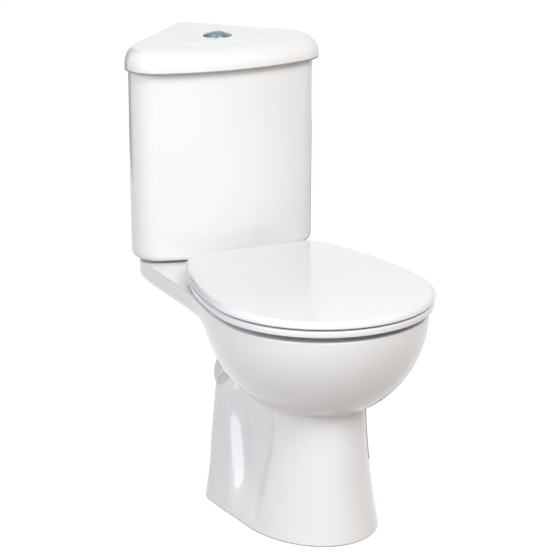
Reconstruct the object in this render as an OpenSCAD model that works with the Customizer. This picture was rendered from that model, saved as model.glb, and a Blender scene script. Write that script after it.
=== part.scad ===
// Close-coupled corner toilet: a washdown pan, a cistern shaped for a room
// corner, its seat and cover, and the flushing gear inside the cistern.
// The front of the pan faces -Y, the room corner lies towards +Y, the floor is
// z = 0, and y = 0 is halfway between the seat's front and the lid's corner.

/* [Pan] */
// Height of the rim and the shelf above the floor
rim_h = 390; // [370:5:420]
// Width of the bowl's outside at the rim
bowl_w = 362; // [350:2:376]
// Reach of the rim in front of the bowl's widest line
bowl_front = 180; // [170:1:188]
// Reach of the rim behind the bowl's widest line
bowl_back = 340; // [320:5:360]
// Height of the bowl's outside, from the rim down to the crease above the foot
bowl_h = 159; // [150:1:170]
// Rounding of the rim's outer edge
rim_r = 7; // [3:1:10]
// Width of the front column under the bowl
col_w = 186; // [170:2:200]
// Reach of the column in front of the bowl's widest line
col_front = 80; // [70:1:90]
// How far the column flares out at the floor, at each side
foot_flare = 25; // [15:1:32]
// How far the column flares out at the floor, at the front
foot_reach = 21; // [10:1:30]
// Width of the foot's rear pillars at their top
pillar_w = 188; // [180:2:200]
// Distance from the bowl's widest line to the back of the foot
foot_back = 228; // [215:1:240]
// Depth of the recess in each side of the foot
side_recess = 16; // [8:1:20]
// Wall of the hollow foot
foot_wall = 13; // [10:1:16]

/* [Bowl inside] */
// Width of the opening inside the rim
mouth_w = 240; // [220:2:250]
// Width of the rim at the front, from its outer edge to the opening
rim_front = 45; // [40:1:55]
// Length of the opening inside the rim
mouth_l = 309; // [290:1:315]
// Height of the flushing rim's inner lip
lip_h = 22; // [16:1:28]
// How far the bowl widens behind the lip
undercut = 23; // [12:1:26]
// Height of the sump's bottom above the floor
sump_z = 80; // [70:1:90]

/* [Outlet] */
// Height of the outlet's axis above the floor
outlet_z = 185; // [180:1:190]
// Radius of the outlet spigot
spigot_r = 51; // [50:0.5:55]
// Length of the spigot in front of the middle of its collar
spigot_l = 42; // [35:1:50]
// Length of the collar that the pan connector is pushed up to
collar_l = 8; // [6:1:12]
// Radius of the waterway
trap_r = 36; // [34:1:38]
// Radius of the trap's bends on its axis
bend_r = 42; // [41:1:46]
// Width of the opening in the back of the foot
door_w = 156; // [120:2:160]
// Height of the opening in the back of the foot
door_h = 118; // [90:1:122]
// Height of the trap's axis where it leaves the sump
trap_in_z = 114; // [110:1:118]
// Height of the trap's axis over the weir
trap_top_z = 236; // [232:1:240]
// Wall around the waterway
trap_wall = 9; // [7:1:11]

/* [Shelf] */
// Width of the shelf behind the bowl
shelf_w = 322; // [310:2:340]
// Height of the shelf's straight side
shelf_t = 22; // [16:1:30]
// Height of the curve under the shelf's side
shelf_curve = 38; // [30:1:45]
// Thickness of the shelf at its bolts
deck_t = 20; // [16:1:24]
// Gap between the shelf and each wall of the room
wall_gap = 15; // [10:1:20]
// Radius of the recess for the cistern's outlet
inlet_r = 40; // [38:1:44]
// Depth of that recess
inlet_d = 26; // [24:1:30]
// Width of the channel to the flushing rim
channel_w = 60; // [40:2:70]
// Height of the channel to the flushing rim
channel_h = 20; // [14:1:22]
// Radius of the notch for the water supply
notch_r = 22; // [20:1:26]

/* [Floor fixing] */
// Spacing of the two floor screw holes
fix_w = 176; // [170:2:180]
// Distance from the back of the foot to the holes
fix_y = 46; // [40:1:56]
// Radius of the holes
fix_r = 4.5; // [4:0.5:6]
// Thickness of the lugs round the holes
lug_t = 14; // [10:1:18]

/* [Cistern] */
// Distance from the seat's back edge to the cistern's front
seat_to_cistern = 48; // [44:1:60]
// Half width where the front curve would meet the walls, without its fillets
cistern_half = 212; // [200:1:225]
// Bulge of the front curve
cistern_sag = 56; // [46:1:64]
// Radius of the fillets beside the front curve
cistern_side_r = 50; // [40:1:56]
// Radius at the room corner
cistern_corner_r = 12; // [8:1:16]
// Gap between the shelf and the cistern, filled by the coupling seal
coupling_gap = 5; // [3:0.5:8]
// Height of the cistern's body
cistern_h = 342; // [320:2:360]
// How much narrower the body is at its bottom, on each side
cistern_taper = 2; // [0:0.5:4]
// Rounding of the bottom edge
cistern_bottom_r = 14; // [8:1:18]
// Wall of the cistern
cistern_wall = 9; // [7:0.5:11]
// Thickness of the cistern's floor
cistern_floor = 10; // [8:1:14]
// Height of the wall screw holes under the body's top edge
screw_drop = 47; // [35:1:60]
// Distance of each wall screw hole from the centre line
screw_x = 100; // [80:1:110]
// Radius of the wall screw holes
screw_r = 3.5; // [3:0.25:4]

/* [Cistern lid] */
// Shadow gap between the body and the lid's skirt
lid_gap = 2.5; // [1.5:0.5:4]
// Height of the lid
lid_h = 45; // [38:1:54]
// Overhang of the lid at the front
lid_front = 15; // [10:1:18]
// Overhang of the lid at the walls
lid_back = 3.5; // [2:0.5:5]
// Height of the lid's straight side
lid_side = 9; // [6:1:14]
// How far the front shoulder of the lid rolls in
lid_roll = 47; // [30:1:55]
// Rise of the lid's top towards its middle
lid_crown = 5; // [2:0.5:8]
// Wall of the lid
lid_wall = 10; // [8:1:12]
// Depth of the lip that keeps the lid in place
lid_lip = 9; // [6:1:14]
// How far the lid lifts clear of the cistern
lid_travel = 160; // [150:5:200]

/* [Seat] */
// Width of the seat and its cover
seat_w = 382; // [374:2:390]
// Length of the seat and its cover
seat_l = 474; // [460:2:490]
// Reach of the seat in front of its widest line
seat_front = 191; // [186:1:196]
// Radius of the seat's long side curves
seat_side_r = 620; // [580:10:700]
// Radius of the seat's rear corners
seat_corner_r = 40; // [30:1:50]
// Thickness of the seat ring
seat_t = 14; // [12:1:16]
// Height of the buffers under the seat
seat_buffer_h = 8; // [7:0.5:10]
// Radius of the buffers under the seat
seat_buffer_r = 8; // [6:0.5:9]
// Width of the seat's opening
hole_w = 224; // [210:2:234]
// Length of the seat's opening
hole_l = 288; // [270:2:300]
// Width of the ring at the front
ring_front = 62; // [55:1:70]
// Height of the buffers under the cover
cover_buffer_h = 3.5; // [3:0.5:6]
// Radius of the buffers under the cover
cover_buffer_r = 6; // [4:0.5:7]
// Height of the cover's edge
cover_edge = 12; // [10:1:16]
// Rise of the cover's top towards its middle
cover_dome = 9; // [4:1:14]
// Wall of the cover's top
cover_t = 4.5; // [3:0.5:6]
// Wall of the cover's edge
cover_rim = 9; // [7:1:12]

/* [Hinges] */
// Spacing of the two hinge posts
hinge_w = 155; // [150:1:160]
// Distance from the seat's back edge to the hinge axis
hinge_in = 11; // [10:0.5:12]
// Height of the hinge axis above the rim
hinge_h = 16; // [15:0.5:17]
// Radius of the hinge pins
pin_r = 3; // [2.5:0.25:3.5]
// Radius of the knuckles round the pins
knuckle_r = 6; // [5.5:0.25:6.5]
// Width of each hinge post
post_w = 10; // [9:0.5:12]
// Width of each cover knuckle
cover_knuckle_w = 6.6; // [5:0.2:8]
// Radius of the posts' round bases
post_base_r = 14; // [12:0.5:15]
// Thickness of the posts' round bases
post_base_t = 3.5; // [2.5:0.5:4]
// Depth of the pins' seats in the ring
pin_seat = 8; // [5:0.5:12]

/* [Bolts] */
// Radius of the hinge bolts and the cistern bolts
bolt_r = 4; // [3:0.5:4]
// Radius of the hinge bolt holes in the shelf
hinge_hole_r = 7; // [6:0.5:8]
// Radius of the cistern bolt holes in the shelf
bolt_hole_r = 6.5; // [6:0.5:8]
// Spacing of the two cistern bolts
bolt_w = 150; // [144:1:156]
// How far the cistern bolts stand in front of the flush valve
bolt_front = 14; // [6:1:20]
// Radius of the pockets under the shelf
pocket_r = 17; // [16:0.5:18]
// Radius of the washers
washer_r = 13; // [12:0.5:14]
// Thickness of the washers
washer_t = 3; // [2:0.5:4]
// Height of the wing nuts
nut_h = 10; // [8:1:12]
// Length of bolt below a wing nut
bolt_end = 12; // [6:1:18]

/* [Flush valve] */
// Distance from the cistern's front to the flush valve
valve_in = 87; // [80:1:95]
// Radius of the valve's threaded tail
tail_r = 29.5; // [28:0.5:31]
// Length of the tail below the cistern
tail_l = 20; // [16:1:21]
// Radius of the valve's flange
flange_r = 38; // [35:1:42]
// Thickness of the flanges in the cistern
flange_t = 4; // [3:0.5:6]
// Thickness of the sealing washers in the cistern
seal_t = 2; // [1.5:0.5:4]
// Radius of the valve's drum
drum_r = 35; // [33:1:38]
// Height of the drum, with its water windows
drum_h = 34; // [30:1:40]
// Height of the back nut below the cistern
back_nut_h = 10; // [8:1:12]
// Outer radius of the coupling seal
coupling_r = 54; // [50:1:60]
// Height of the ribbed cage
cage_h = 75; // [60:1:90]
// Height of the valve's head
head_h = 80; // [72:1:90]
// Radius of the overflow tube
overflow_r = 13; // [11:0.5:15]
// Length of the overflow tube above the seal
overflow_l = 132; // [120:1:140]
// Lift of the valve
valve_lift = 25; // [15:1:30]

/* [Push button] */
// Radius of the button's collar
collar_r = 25.5; // [24:0.5:28]
// Radius of the collar's barrel
barrel_r = 21.5; // [20:0.5:22.5]
// Wall of the barrel
barrel_t = 1.5; // [1:0.25:2]
// Length of the barrel
barrel_l = 30; // [28:1:36]
// Height of the collar and its buttons above the lid
button_h = 7; // [5:0.5:9]
// Travel of the buttons
button_travel = 8; // [5:0.5:9]
// Where the two buttons meet, right of the centre
button_split = 5; // [2:0.5:7]
// Radius of the push rods
rod_r = 3; // [2:0.25:3.25]
// Distance of the full flush rod left of the centre
rod_full_x = 9; // [7:0.5:12]
// Distance of the half flush rod right of the centre
rod_half_x = 12.5; // [11.5:0.5:14]

/* [Fill valve] */
// Distance of the fill valve left of the centre
fill_x = 72; // [68:1:76]
// Distance of the fill valve behind the flush valve
fill_back = 48; // [44:1:52]
// Radius of the threaded inlet
inlet_tail_r = 10.4; // [10:0.1:10.5]
// Length of the inlet's free thread
inlet_tail_l = 36; // [30:1:45]
// Radius of the valve's column
column_r = 9; // [8:0.5:10]
// Height of the column above its flange
column_h = 189; // [170:1:210]
// Radius of the valve's head
fill_head_r = 14; // [13:0.5:16]
// Height of the valve's head
fill_head_h = 25; // [20:1:30]
// Outer radius of the float
float_r = 22; // [20:0.5:24]
// Height of the float
float_h = 55; // [45:1:65]
// Travel of the float
float_travel = 10; // [6:1:12]
// Distance between the float arm's pivot and its link
arm_l = 34; // [32:1:36]

/* [Clearances] */
// Radial clearance of running pins and bores
run_gap = 0.08; // [0.05:0.01:0.1]
// Clearance between parts that pass or face each other
gap = 0.4; // [0.3:0.05:0.6]
// Radial clearance of plastic guides and threads
guide_gap = 0.6; // [0.4:0.1:0.8]

/* [Hidden] */
root2 = sqrt(2);

// Colours
china = [0.93, 0.93, 0.94];
plastic = [0.90, 0.90, 0.91];
chrome = [0.72, 0.74, 0.76];
steel = [0.62, 0.63, 0.65];
rubber = [0.16, 0.16, 0.17];
grey = [0.55, 0.57, 0.60];
blue = [0.20, 0.42, 0.66];

// Places along the centre line
lid_reach = cistern_half + cistern_sag + lid_back * root2 - cistern_corner_r * (root2 - 1);
overall_l = seat_l + seat_to_cistern + lid_reach;
front_y = -overall_l / 2;
bowl_y = front_y + seat_front;
seat_back_y = front_y + seat_l;
cistern_front_y = seat_back_y + seat_to_cistern;
corner_y = cistern_front_y + cistern_sag + cistern_half;
valve_y = cistern_front_y + valve_in;
hinge_y = seat_back_y - hinge_in;
fill_y = valve_y + fill_back;
bolt_y = valve_y - bolt_front;
foot_y = bowl_y + foot_back;
hinge_x = hinge_w / 2;
bolt_x = bolt_w / 2;

// Heights
crease_z = rim_h - bowl_h;
col_top_z = crease_z + 14;
shelf_z = rim_h - shelf_t - shelf_curve;
deck_z = rim_h - deck_t;
cistern_z = rim_h + coupling_gap;
floor_z = cistern_z + cistern_floor;
cistern_top = cistern_z + cistern_h;
lid_z = cistern_top + lid_gap;
lid_top = lid_z + lid_h;
seat_z = rim_h + seat_buffer_h;
cover_z = seat_z + seat_t + cover_buffer_h;
hinge_z = rim_h + hinge_h;

// Curve of the cistern's front
front_arc_r = (pow(cistern_half, 2) + pow(cistern_sag, 2)) / (2 * cistern_sag);
front_arc_y = cistern_front_y + front_arc_r;

// ---------- shared functions and shapes ----------

function sum(v) = v * [for (i = v) 1];
function mix(a, b, t) = a + (b - a) * t;
function unit(t) = max(0, min(1, t));
function smooth(a, b, x) = let (t = unit((x - a) / (b - a))) t * t * (3 - 2 * t);
function steps(a, b, n) = [for (i = [0:n]) mix(a, b, i / n)];
function at(plan, z) = [for (p = plan) [p[0], p[1], z]];
function mirrored(half) = concat(half, [for (i = [len(half) - 2:-1:1]) [-half[i][0], half[i][1]]]);
// A quarter round, from 0 at t = 0 to 1 at t = 1
function quarter(t) = 1 - sqrt(1 - unit(t) * unit(t));

// Smooth curve through [x, y] pairs in rising order of x
function slope(a, b) = (b[1] - a[1]) / (b[0] - a[0]);
function curve(p, x) =
    let (n = len(p) - 1,
        q = max(p[0][0], min(p[n][0], x)),
        i = min(n - 1, max([for (k = [0:n - 1]) if (p[k][0] <= q) k])),
        a = p[i],
        b = p[i + 1],
        h = b[0] - a[0],
        t = (q - a[0]) / h,
        m0 = slope(i == 0 ? a : p[i - 1], b) * h,
        m1 = slope(a, i == n - 1 ? b : p[i + 2]) * h)
    (2 * pow(t, 3) - 3 * t * t + 1) * a[1] + (pow(t, 3) - 2 * t * t + t) * m0
        + (3 * t * t - 2 * pow(t, 3)) * b[1] + (pow(t, 3) - t * t) * m1;

// Closed solid through rings of equally many points, from the lowest up
module loft(rings) {
    n = len(rings[0]);
    m = len(rings);
    sides = [for (j = [0:m - 2]) for (i = [0:n - 1])
        let (k = (i + 1) % n, a = j * n, b = a + n)
        each [[a + i, b + i, b + k], [a + i, b + k, a + k]]];
    polyhedron([for (r = rings) each r],
        concat([[for (i = [0:n - 1]) i]], sides, [[for (i = [n - 1:-1:0]) (m - 1) * n + i]]));
}

// Closed ring through cross-sections of equally many points
module hoop(sections) {
    n = len(sections[0]);
    m = len(sections);
    polyhedron([for (s = sections) each s],
        [for (j = [0:m - 1]) for (i = [0:n - 1])
            let (k = (i + 1) % n, a = j * n, b = ((j + 1) % m) * n)
            each [[a + i, a + k, b + k], [a + i, b + k, b + i]]]);
}

// One casting, h high
module casting(h) {
    resize([0, 0, h]) union() children();
}

module both_sides() {
    for (s = [0, 1]) mirror([s, 0, 0]) children();
}

module tube(r_out, r_in, h) {
    difference() {
        cylinder(r = r_out, h = h, $fn = 48);
        translate([0, 0, -1]) cylinder(r = r_in, h = h + 2, $fn = 48);
    }
}

// ---------- pan ----------

// Distance along a ray from y0 on the centre line to an ellipse centred at yc
function ray(s, c, e, a, b) =
    let (k = s * s / (a * a) + c * c / (b * b), l = 2 * e * c / (b * b), m = e * e / (b * b) - 1)
    l * l > 4 * k * m ? (sqrt(l * l - 4 * k * m) - l) / (2 * k) : 1;
// The same to an outline with different half ellipses in front and behind
function egg(th, y0, yc, a, bf, br) =
    let (s = sin(th), c = -cos(th), f = ray(s, c, y0 - yc, a, bf))
    y0 + f * c <= yc ? f : ray(s, c, y0 - yc, a, br);
// The same to a polygon of planes [direction, distance], its corners rounded
function planes(th, list, p) =
    let (s = abs(sin(th)), c = -cos(th))
    pow(sum([for (q = list) pow(max(s * sin(q[0]) + c * cos(q[0]), 0) / q[1], p)]), -1 / p);
// Union of outlines on one ray, with a soft blend
function blend(rs, p) =
    let (m = max(rs))
    m * pow(sum([for (r = rs) pow(r / m, p)]), 1 / p);

// The rings of the pan are drawn about this point of the centre line
pan_y = bowl_y + 144;

function bowl_out(th, z, y0) =
    let (t = unit((rim_h - z) / bowl_h),
        k = pow(1 - pow(t, 2.2), 0.72),
        rear = mix(0.6, 1, pow(unit(1 - t), 1.8)) * mix(0.6, 1, unit(1.6 * k)))
    z < crease_z - 1 ? 1 :
    egg(th, y0, bowl_y + 25 * pow(t, 1.5), bowl_w / 2 * mix(0.53, 1, k),
        bowl_front * mix(0.62, 1, k), bowl_back * rear);

function shelf_out(th, z, y0) =
    let (t = unit((rim_h - shelf_t - z) / shelf_curve),
        s = mix(0.38, 1, sqrt(1 - t * t)))
    z < shelf_z ? 1 :
    planes(th, [[45, (corner_y / root2 - wall_gap - y0 / root2) * s], [90, shelf_w / 2 * s],
        [180, 75]], 40);

function neck_out(th, z, y0) =
    let (t = unit((z - 150) / (shelf_z + shelf_curve / 2 - 147)),
        back = foot_y - 4 + 215 * pow(t, 1.45))
    z < 140 ? 1 :
    planes(th, [[0, max(back - y0, 8)], [90, mix(72, 95, pow(t, 3))], [180, 60]], 7)
        * smooth(120, 190, z);

// Half width of the column and of the rear pillars, and their reach in front
function flare(z, h, p) = pow(unit(1 - z / h), p);
function col_half(z) = col_w / 2 + foot_flare * flare(z, crease_z, 1.75);
function pillar_half(z) = pillar_w / 2 + foot_flare * flare(z, crease_z + 29, 1.05);
function col_reach(z) = col_front + foot_reach * flare(z, crease_z, 1.7);

function foot_out(th, z, y0) =
    let (s = sin(th),
        c = -cos(th),
        yc = bowl_y + 61,
        e = y0 - yc,
        f = ray(s, c, e, col_half(z), col_reach(z) + 61),
        col = y0 + f * c <= yc ? f : ray(s, c, e, col_half(z), 1500),
        back = c > 0 ? max(foot_y - y0, 6) / c : 1e6,
        y = y0 + min(col, back) * c,
        step = smooth(bowl_y + 1, bowl_y + 7, y) - smooth(bowl_y + 119, bowl_y + 184, y),
        swell = (pillar_half(z) - col_half(z)) * smooth(bowl_y + 109, bowl_y + 179, y),
        side = col + (swell - side_recess * smooth(20, 75, z) * step) / max(abs(s), 0.35),
        r = pow(pow(side, -22) + pow(back, -22), -1 / 22),
        top = unit((z - crease_z + 26) / 33),
        rear = smooth(bowl_y - 26, bowl_y + 84, y0 + r * c))
    z > col_top_z ? 1 : r * (1 - (1 - mix(0.5, 1, sqrt(1 - top * top))) * rear);

function pan_out(th, z) =
    let (body = blend([bowl_out(th, z, pan_y), shelf_out(th, z, pan_y), neck_out(th, z, pan_y)], 24))
    blend([body, foot_out(th, z, pan_y)], 45) - rim_r * quarter((z - rim_h + rim_r) / rim_r);

// Closer together where the outline turns sharply
half_angles = [0, 8, 16, 23, 28, 31, 33, 35, 37, 39, 41, 45, 52, 60, 68, 76, 84, 91, 98, 105,
    112, 118, 123, 126, 129, 131.5, 134, 138, 142, 145, 148, 150, 152, 155, 158, 161, 164, 168,
    173, 177, 180];
pan_angles = concat(half_angles, [for (i = [len(half_angles) - 2:-1:1]) -half_angles[i]]);
pan_heights = concat([0, 10, 24], steps(45, crease_z - 46, 3),
    [for (t = [0, 0.4, 0.7, 0.9, 1]) crease_z - 26 + 33 * t], [col_top_z + 1],
    steps(col_top_z + 13, shelf_z - 3, 4), [shelf_z + 0.5], steps(shelf_z + 8, rim_h - shelf_t, 3),
    [rim_h - rim_r, rim_h - 0.4 * rim_r, rim_h - 0.1 * rim_r, rim_h]);

function polar(angles, y0, z, r) =
    [for (i = [0:len(angles) - 1]) [r[i] * sin(angles[i]), y0 - r[i] * cos(angles[i]), z]];

module pan_outside() {
    loft([for (z = pan_heights) polar(pan_angles, pan_y, z, [for (a = pan_angles) pan_out(a, z)])]);
}

// Inside of the bowl: [height, half width, front, back], y measured from the
// bowl's widest line
mouth_f = rim_front - bowl_front;
mouth_b = mouth_f + mouth_l;
bowl_lip_z = rim_h - lip_h;
bowl_in = [
    [sump_z, 24, 54, 106],
    [sump_z + 15, 36, 39, 112],
    [mix(sump_z, bowl_lip_z, 0.17), 45, 24, 116],
    [mix(sump_z, bowl_lip_z, 0.31), 54, 0, 118],
    [mix(sump_z, bowl_lip_z, 0.43), 55, -26, 119],
    [mix(sump_z, bowl_lip_z, 0.51), 57, -56, 121],
    [mix(sump_z, bowl_lip_z, 0.56), mouth_w / 2 - 35, mouth_f + 53, 125],
    [mix(sump_z, bowl_lip_z, 0.62), mouth_w / 2 - 4, mouth_f + 30, 134],
    [mix(sump_z, bowl_lip_z, 0.70), mouth_w / 2 + 14, mouth_f + 8, 148],
    [mix(sump_z, bowl_lip_z, 0.83), mouth_w / 2 + undercut + 4, mouth_f - undercut + 8, 168],
    [bowl_lip_z - 18, mouth_w / 2 + undercut + 3, mouth_f - undercut + 2, mouth_b + undercut - 3]];

function bowl_ring(z, grow, sink = 0) =
    let (a = curve([for (p = bowl_in) [p[0], p[1]]], z) + grow,
        f = curve([for (p = bowl_in) [p[0], p[2]]], z) - grow,
        b = curve([for (p = bowl_in) [p[0], p[3]]], z) + grow,
        yc = mix(f, b, 0.44))
    oval(a, yc - f, b - yc, bowl_y + yc, z - sink);

function oval(a, bf, br, yc, z) =
    [for (t = [0:9:351]) [a * sin(t), yc - (cos(t) > 0 ? bf : br) * cos(t), z]];

module bowl_inside() {
    mouth = function (grow, z) oval(mouth_w / 2 + grow, mouth_l * 0.44 + grow,
        mouth_l * 0.56 + grow, bowl_y + mouth_f + mouth_l * 0.44, z);
    heights = concat([sump_z, sump_z + 5], [for (i = [1:len(bowl_in) - 1]) bowl_in[i][0]]);
    loft(concat([for (z = heights) bowl_ring(z, 0)],
        [bowl_ring(bowl_lip_z - 6, -3), mouth(2, bowl_lip_z), mouth(0, bowl_lip_z + 3),
            mouth(0, rim_h - 5), mouth(1.5, rim_h - 1.5), mouth(5, rim_h), mouth(6, rim_h + 1)]));
}

module bowl_shell() {
    loft(concat([bowl_ring(sump_z, 3, 11), bowl_ring(sump_z, 10, 4)],
        [for (z = steps(sump_z + 15, crease_z - 20, 4)) bowl_ring(z, 11)]));
}

// Axis of the trap in the plane x = 0: up from the sump, over the weir and out
trap_turn = 60;
trap_in_y = bowl_y + 119;
trap_rise = trap_top_z - trap_in_z - 2 * bend_r * (1 - cos(80));
trap_fall = trap_top_z - outlet_z - 2 * bend_r * (1 - cos(trap_turn));
weir_y = trap_in_y + 2 * bend_r * sin(80) + trap_rise / tan(80);
fall_y = weir_y + 2 * bend_r * sin(trap_turn) + trap_fall / tan(trap_turn);
trap_axis = concat(
    [[trap_in_y - 45, trap_in_z, 0]],
    [for (a = [0:20:80]) [trap_in_y + bend_r * sin(a), trap_in_z + bend_r * (1 - cos(a)), a]],
    [for (a = [80:-20:-trap_turn])
        [weir_y - bend_r * sin(a), trap_top_z - bend_r * (1 - cos(a)), a]],
    [for (a = [-trap_turn:20:0])
        [fall_y + bend_r * sin(a), outlet_z + bend_r * (1 - cos(a)), a]],
    [[fall_y + 8, outlet_z, 0]]);

module trap(r) {
    loft([for (p = trap_axis)
        [for (t = [0:22.5:337.5])
            [r * cos(t), p[0] + r * sin(t) * sin(p[2]), p[1] - r * sin(t) * cos(p[2])]]]);
}

// Hollow of the foot: an arch in front, straight sides and an open back
module foot_inside() {
    top = crease_z - 60;
    function inner(z, cut) =
        let (w = col_half(z) - side_recess * smooth(20, 75, z) - foot_wall - cut,
            f = col_reach(z) + 61 - foot_wall - cut,
            yc = bowl_y + 61,
            back = foot_y - foot_wall)
        at(mirrored(concat([for (t = [0:15:75]) [w * sin(t), yc - f * cos(t)]],
            [[w, yc], [w, back - 12], [w - 12, back], [0, back]])), z);
    difference() {
        union() {
            loft([inner(-1, 0), inner(30, 0), inner(75, 0), inner(top - 15, 0), inner(top, 8)]);
            translate([-door_w / 2, foot_y - 70, -1]) cube([door_w, 100, door_h + 1]);
        }
        bowl_shell();
        trap(trap_r + trap_wall);
        both_sides() translate([fix_w / 2 - 14, foot_y - fix_y - 16, -2]) cube([40, 32, lug_t + 2]);
    }
}

module pan() {
    color(china) difference() {
        union() {
            casting(rim_h) difference() {
                union() {
                    pan_outside();
                    trap(trap_r + trap_wall);
                }
                foot_inside();
                bowl_inside();
                trap(trap_r);
                translate([-channel_w / 2, bowl_y + mouth_b + 2, bowl_lip_z - 4 - channel_h])
                    cube([channel_w, valve_y - bowl_y - mouth_b, channel_h]);
                both_sides() translate([fill_x, fill_y, shelf_z - 20]) rotate(-45)
                    linear_extrude(rim_h - shelf_z + 21) {
                        circle(r = notch_r, $fn = 48);
                        translate([-notch_r, 0]) square([2 * notch_r, 80]);
                    }
            }
            translate([0, fall_y - collar_l / 2, outlet_z]) rotate([-90, 0, 0])
                difference() {
                    union() {
                        cylinder(r = spigot_r + 4, h = collar_l, $fn = 64);
                        cylinder(r = spigot_r, h = collar_l / 2 + spigot_l, $fn = 64);
                    }
                    translate([0, 0, -1]) cylinder(r = trap_r + 2, h = spigot_l + 20, $fn = 64);
                }
        }
        translate([0, fall_y - 2, outlet_z]) rotate([-90, 0, 0])
            cylinder(r = trap_r + 4, h = spigot_l + 3, $fn = 64);
        translate([0, valve_y, rim_h - inlet_d]) cylinder(r = inlet_r, h = inlet_d + 1, $fn = 64);
        translate([0, valve_y, bowl_lip_z - 7 - channel_h])
            cylinder(r = channel_w / 2 + 3, h = inlet_d + 13, $fn = 64);
        both_sides() {
            translate([bolt_x, bolt_y, shelf_z - 30])
                cylinder(r = pocket_r, h = deck_z - shelf_z + 30, $fn = 48);
            translate([bolt_x, bolt_y, shelf_z]) cylinder(r = bolt_hole_r, h = 100, $fn = 32);
            translate([hinge_x, hinge_y, shelf_z - 40])
                cylinder(r = pocket_r, h = deck_z - shelf_z + 40, $fn = 48);
            translate([hinge_x, hinge_y, shelf_z]) cylinder(r = hinge_hole_r, h = 100, $fn = 32);
            translate([fix_w / 2, foot_y - fix_y, -1]) cylinder(r = fix_r, h = lug_t + 2, $fn = 32);
        }
    }
}

module coupling_seal() {
    color(rubber) translate([0, valve_y, rim_h])
        tube(coupling_r, back_nut_r + gap, coupling_gap);
}

// ---------- cistern ----------

// Plan of the cistern: a curved front, two fillets and two straight walls that
// meet in the room corner, drawn in by df at the front and dw at the walls
function corner_plan(df, dw, rc, ra) =
    let (r1 = max(rc, 2),
        r2 = max(ra, 2),
        ya = corner_y - root2 * dw,
        r = front_arc_r - df,
        k = ya - r1 * root2 - front_arc_y,
        x = (k + sqrt(2 * pow(r - r1, 2) - k * k)) / 2,
        y = k - x + front_arc_y,
        turn = atan2(y - front_arc_y, x))
    mirrored(concat(
        [for (i = [0:9]) let (t = mix(-90, turn, i / 10)) [r * cos(t), front_arc_y + r * sin(t)]],
        [for (i = [0:8]) let (t = mix(turn, 45, i / 8)) [x + r1 * cos(t), y + r1 * sin(t)]],
        [for (i = [0:2]) let (t = mix(45, 90, i / 2))
            [r2 * cos(t), ya - r2 * root2 + r2 * sin(t)]]));

// Inset of the body's outside at a height above its bottom
function body_inset(h) = cistern_taper * (1 - h / cistern_h)
    + cistern_bottom_r * quarter(1 - h / cistern_bottom_r)
    + 2 * quarter((h - cistern_h + 2) / 2);
function body_ring(h, d, z) =
    at(corner_plan(d, d, cistern_side_r - d, cistern_corner_r - min(d, 8)), z);

module cistern() {
    edge = [for (t = [0, 0.15, 0.4, 0.7, 1]) t * cistern_bottom_r];
    outer = concat(edge, [cistern_h - 2, cistern_h - 0.6, cistern_h]);
    inner = [cistern_floor, cistern_floor + 4, cistern_floor + 12, cistern_h + 1];
    color(china) difference() {
        casting_at(cistern_z, cistern_h) difference() {
            loft([for (h = outer) body_ring(h, body_inset(h), cistern_z + h)]);
            loft([for (h = inner)
                body_ring(h, cistern_taper * (1 - min(h / cistern_h, 1)) + cistern_wall
                    + 12 * quarter(1 - (h - cistern_floor) / 12), cistern_z + h)]);
        }
        translate([0, valve_y, cistern_z - 1])
            cylinder(r = tail_r + 1.5, h = cistern_floor + 2, $fn = 64);
        translate([-fill_x, fill_y, cistern_z - 1])
            cylinder(r = shank_r + 1, h = cistern_floor + 2, $fn = 48);
        both_sides() {
            translate([bolt_x, bolt_y, cistern_z - 1])
                cylinder(r = bolt_r + 2, h = cistern_floor + 2, $fn = 32);
            translate([screw_x, corner_y - screw_x, cistern_top - screw_drop]) rotate([0, 90, 45])
                translate([0, 0, -cistern_wall - cistern_taper - 20])
                    cylinder(r = screw_r, h = cistern_wall + 40, $fn = 32);
        }
    }
}

// One casting that starts at a height
module casting_at(z, h) {
    translate([0, 0, z]) casting(h) translate([0, 0, -z]) children();
}

module cistern_bolts() {
    low = deck_z - washer_t - nut_h - bolt_end;
    head = floor_z + washer_t;
    color(steel) both_sides() translate([bolt_x, bolt_y, low]) {
        cylinder(r = bolt_r, h = head - low + 1, $fn = 32);
        translate([0, 0, head - low]) cylinder(r = bolt_r * 1.9, h = bolt_r, $fn = 6);
    }
}

module cistern_bolt_washers() {
    color(rubber) both_sides() translate([bolt_x, bolt_y, floor_z])
        tube(washer_r, bolt_r + run_gap, washer_t);
}

module cistern_plate_washers() {
    color(rubber) both_sides() translate([bolt_x, bolt_y, deck_z - washer_t])
        tube(washer_r, bolt_r + run_gap, washer_t);
}

// A wing nut that hangs from z = 0, its wings along X
module wing_nut() {
    wing = washer_r - bolt_r;
    difference() {
        union() {
            translate([0, 0, -nut_h]) cylinder(r = bolt_r + 3, h = nut_h, $fn = 32);
            for (s = [0, 180]) rotate(s) translate([bolt_r + 2, 1.5, -nut_h - 2])
                rotate([90, 0, 0]) linear_extrude(3)
                    polygon([[0, 2], [wing - 5, 0], [wing, 2], [wing, nut_h - 2], [wing - 3, nut_h],
                        [0, nut_h - 2]]);
        }
        translate([0, 0, -nut_h - 3]) cylinder(r = bolt_r + run_gap, h = nut_h + 4, $fn = 32);
    }
}

module cistern_wing_nuts() {
    color(plastic) both_sides() translate([bolt_x, bolt_y, deck_z - washer_t]) wing_nut();
}

// ---------- flush valve ----------

back_nut_r = tail_r + 7.5;
base_z = floor_z + seal_t;
drum_z = base_z + flange_t;
cage_z = drum_z + drum_h;
head_z = cage_z + cage_h;
seat_lip = 4;
seal_disc_z = drum_z + seat_lip;
seal_disc_t = 3;
tube_z = seal_disc_z + seal_disc_t;

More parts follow.
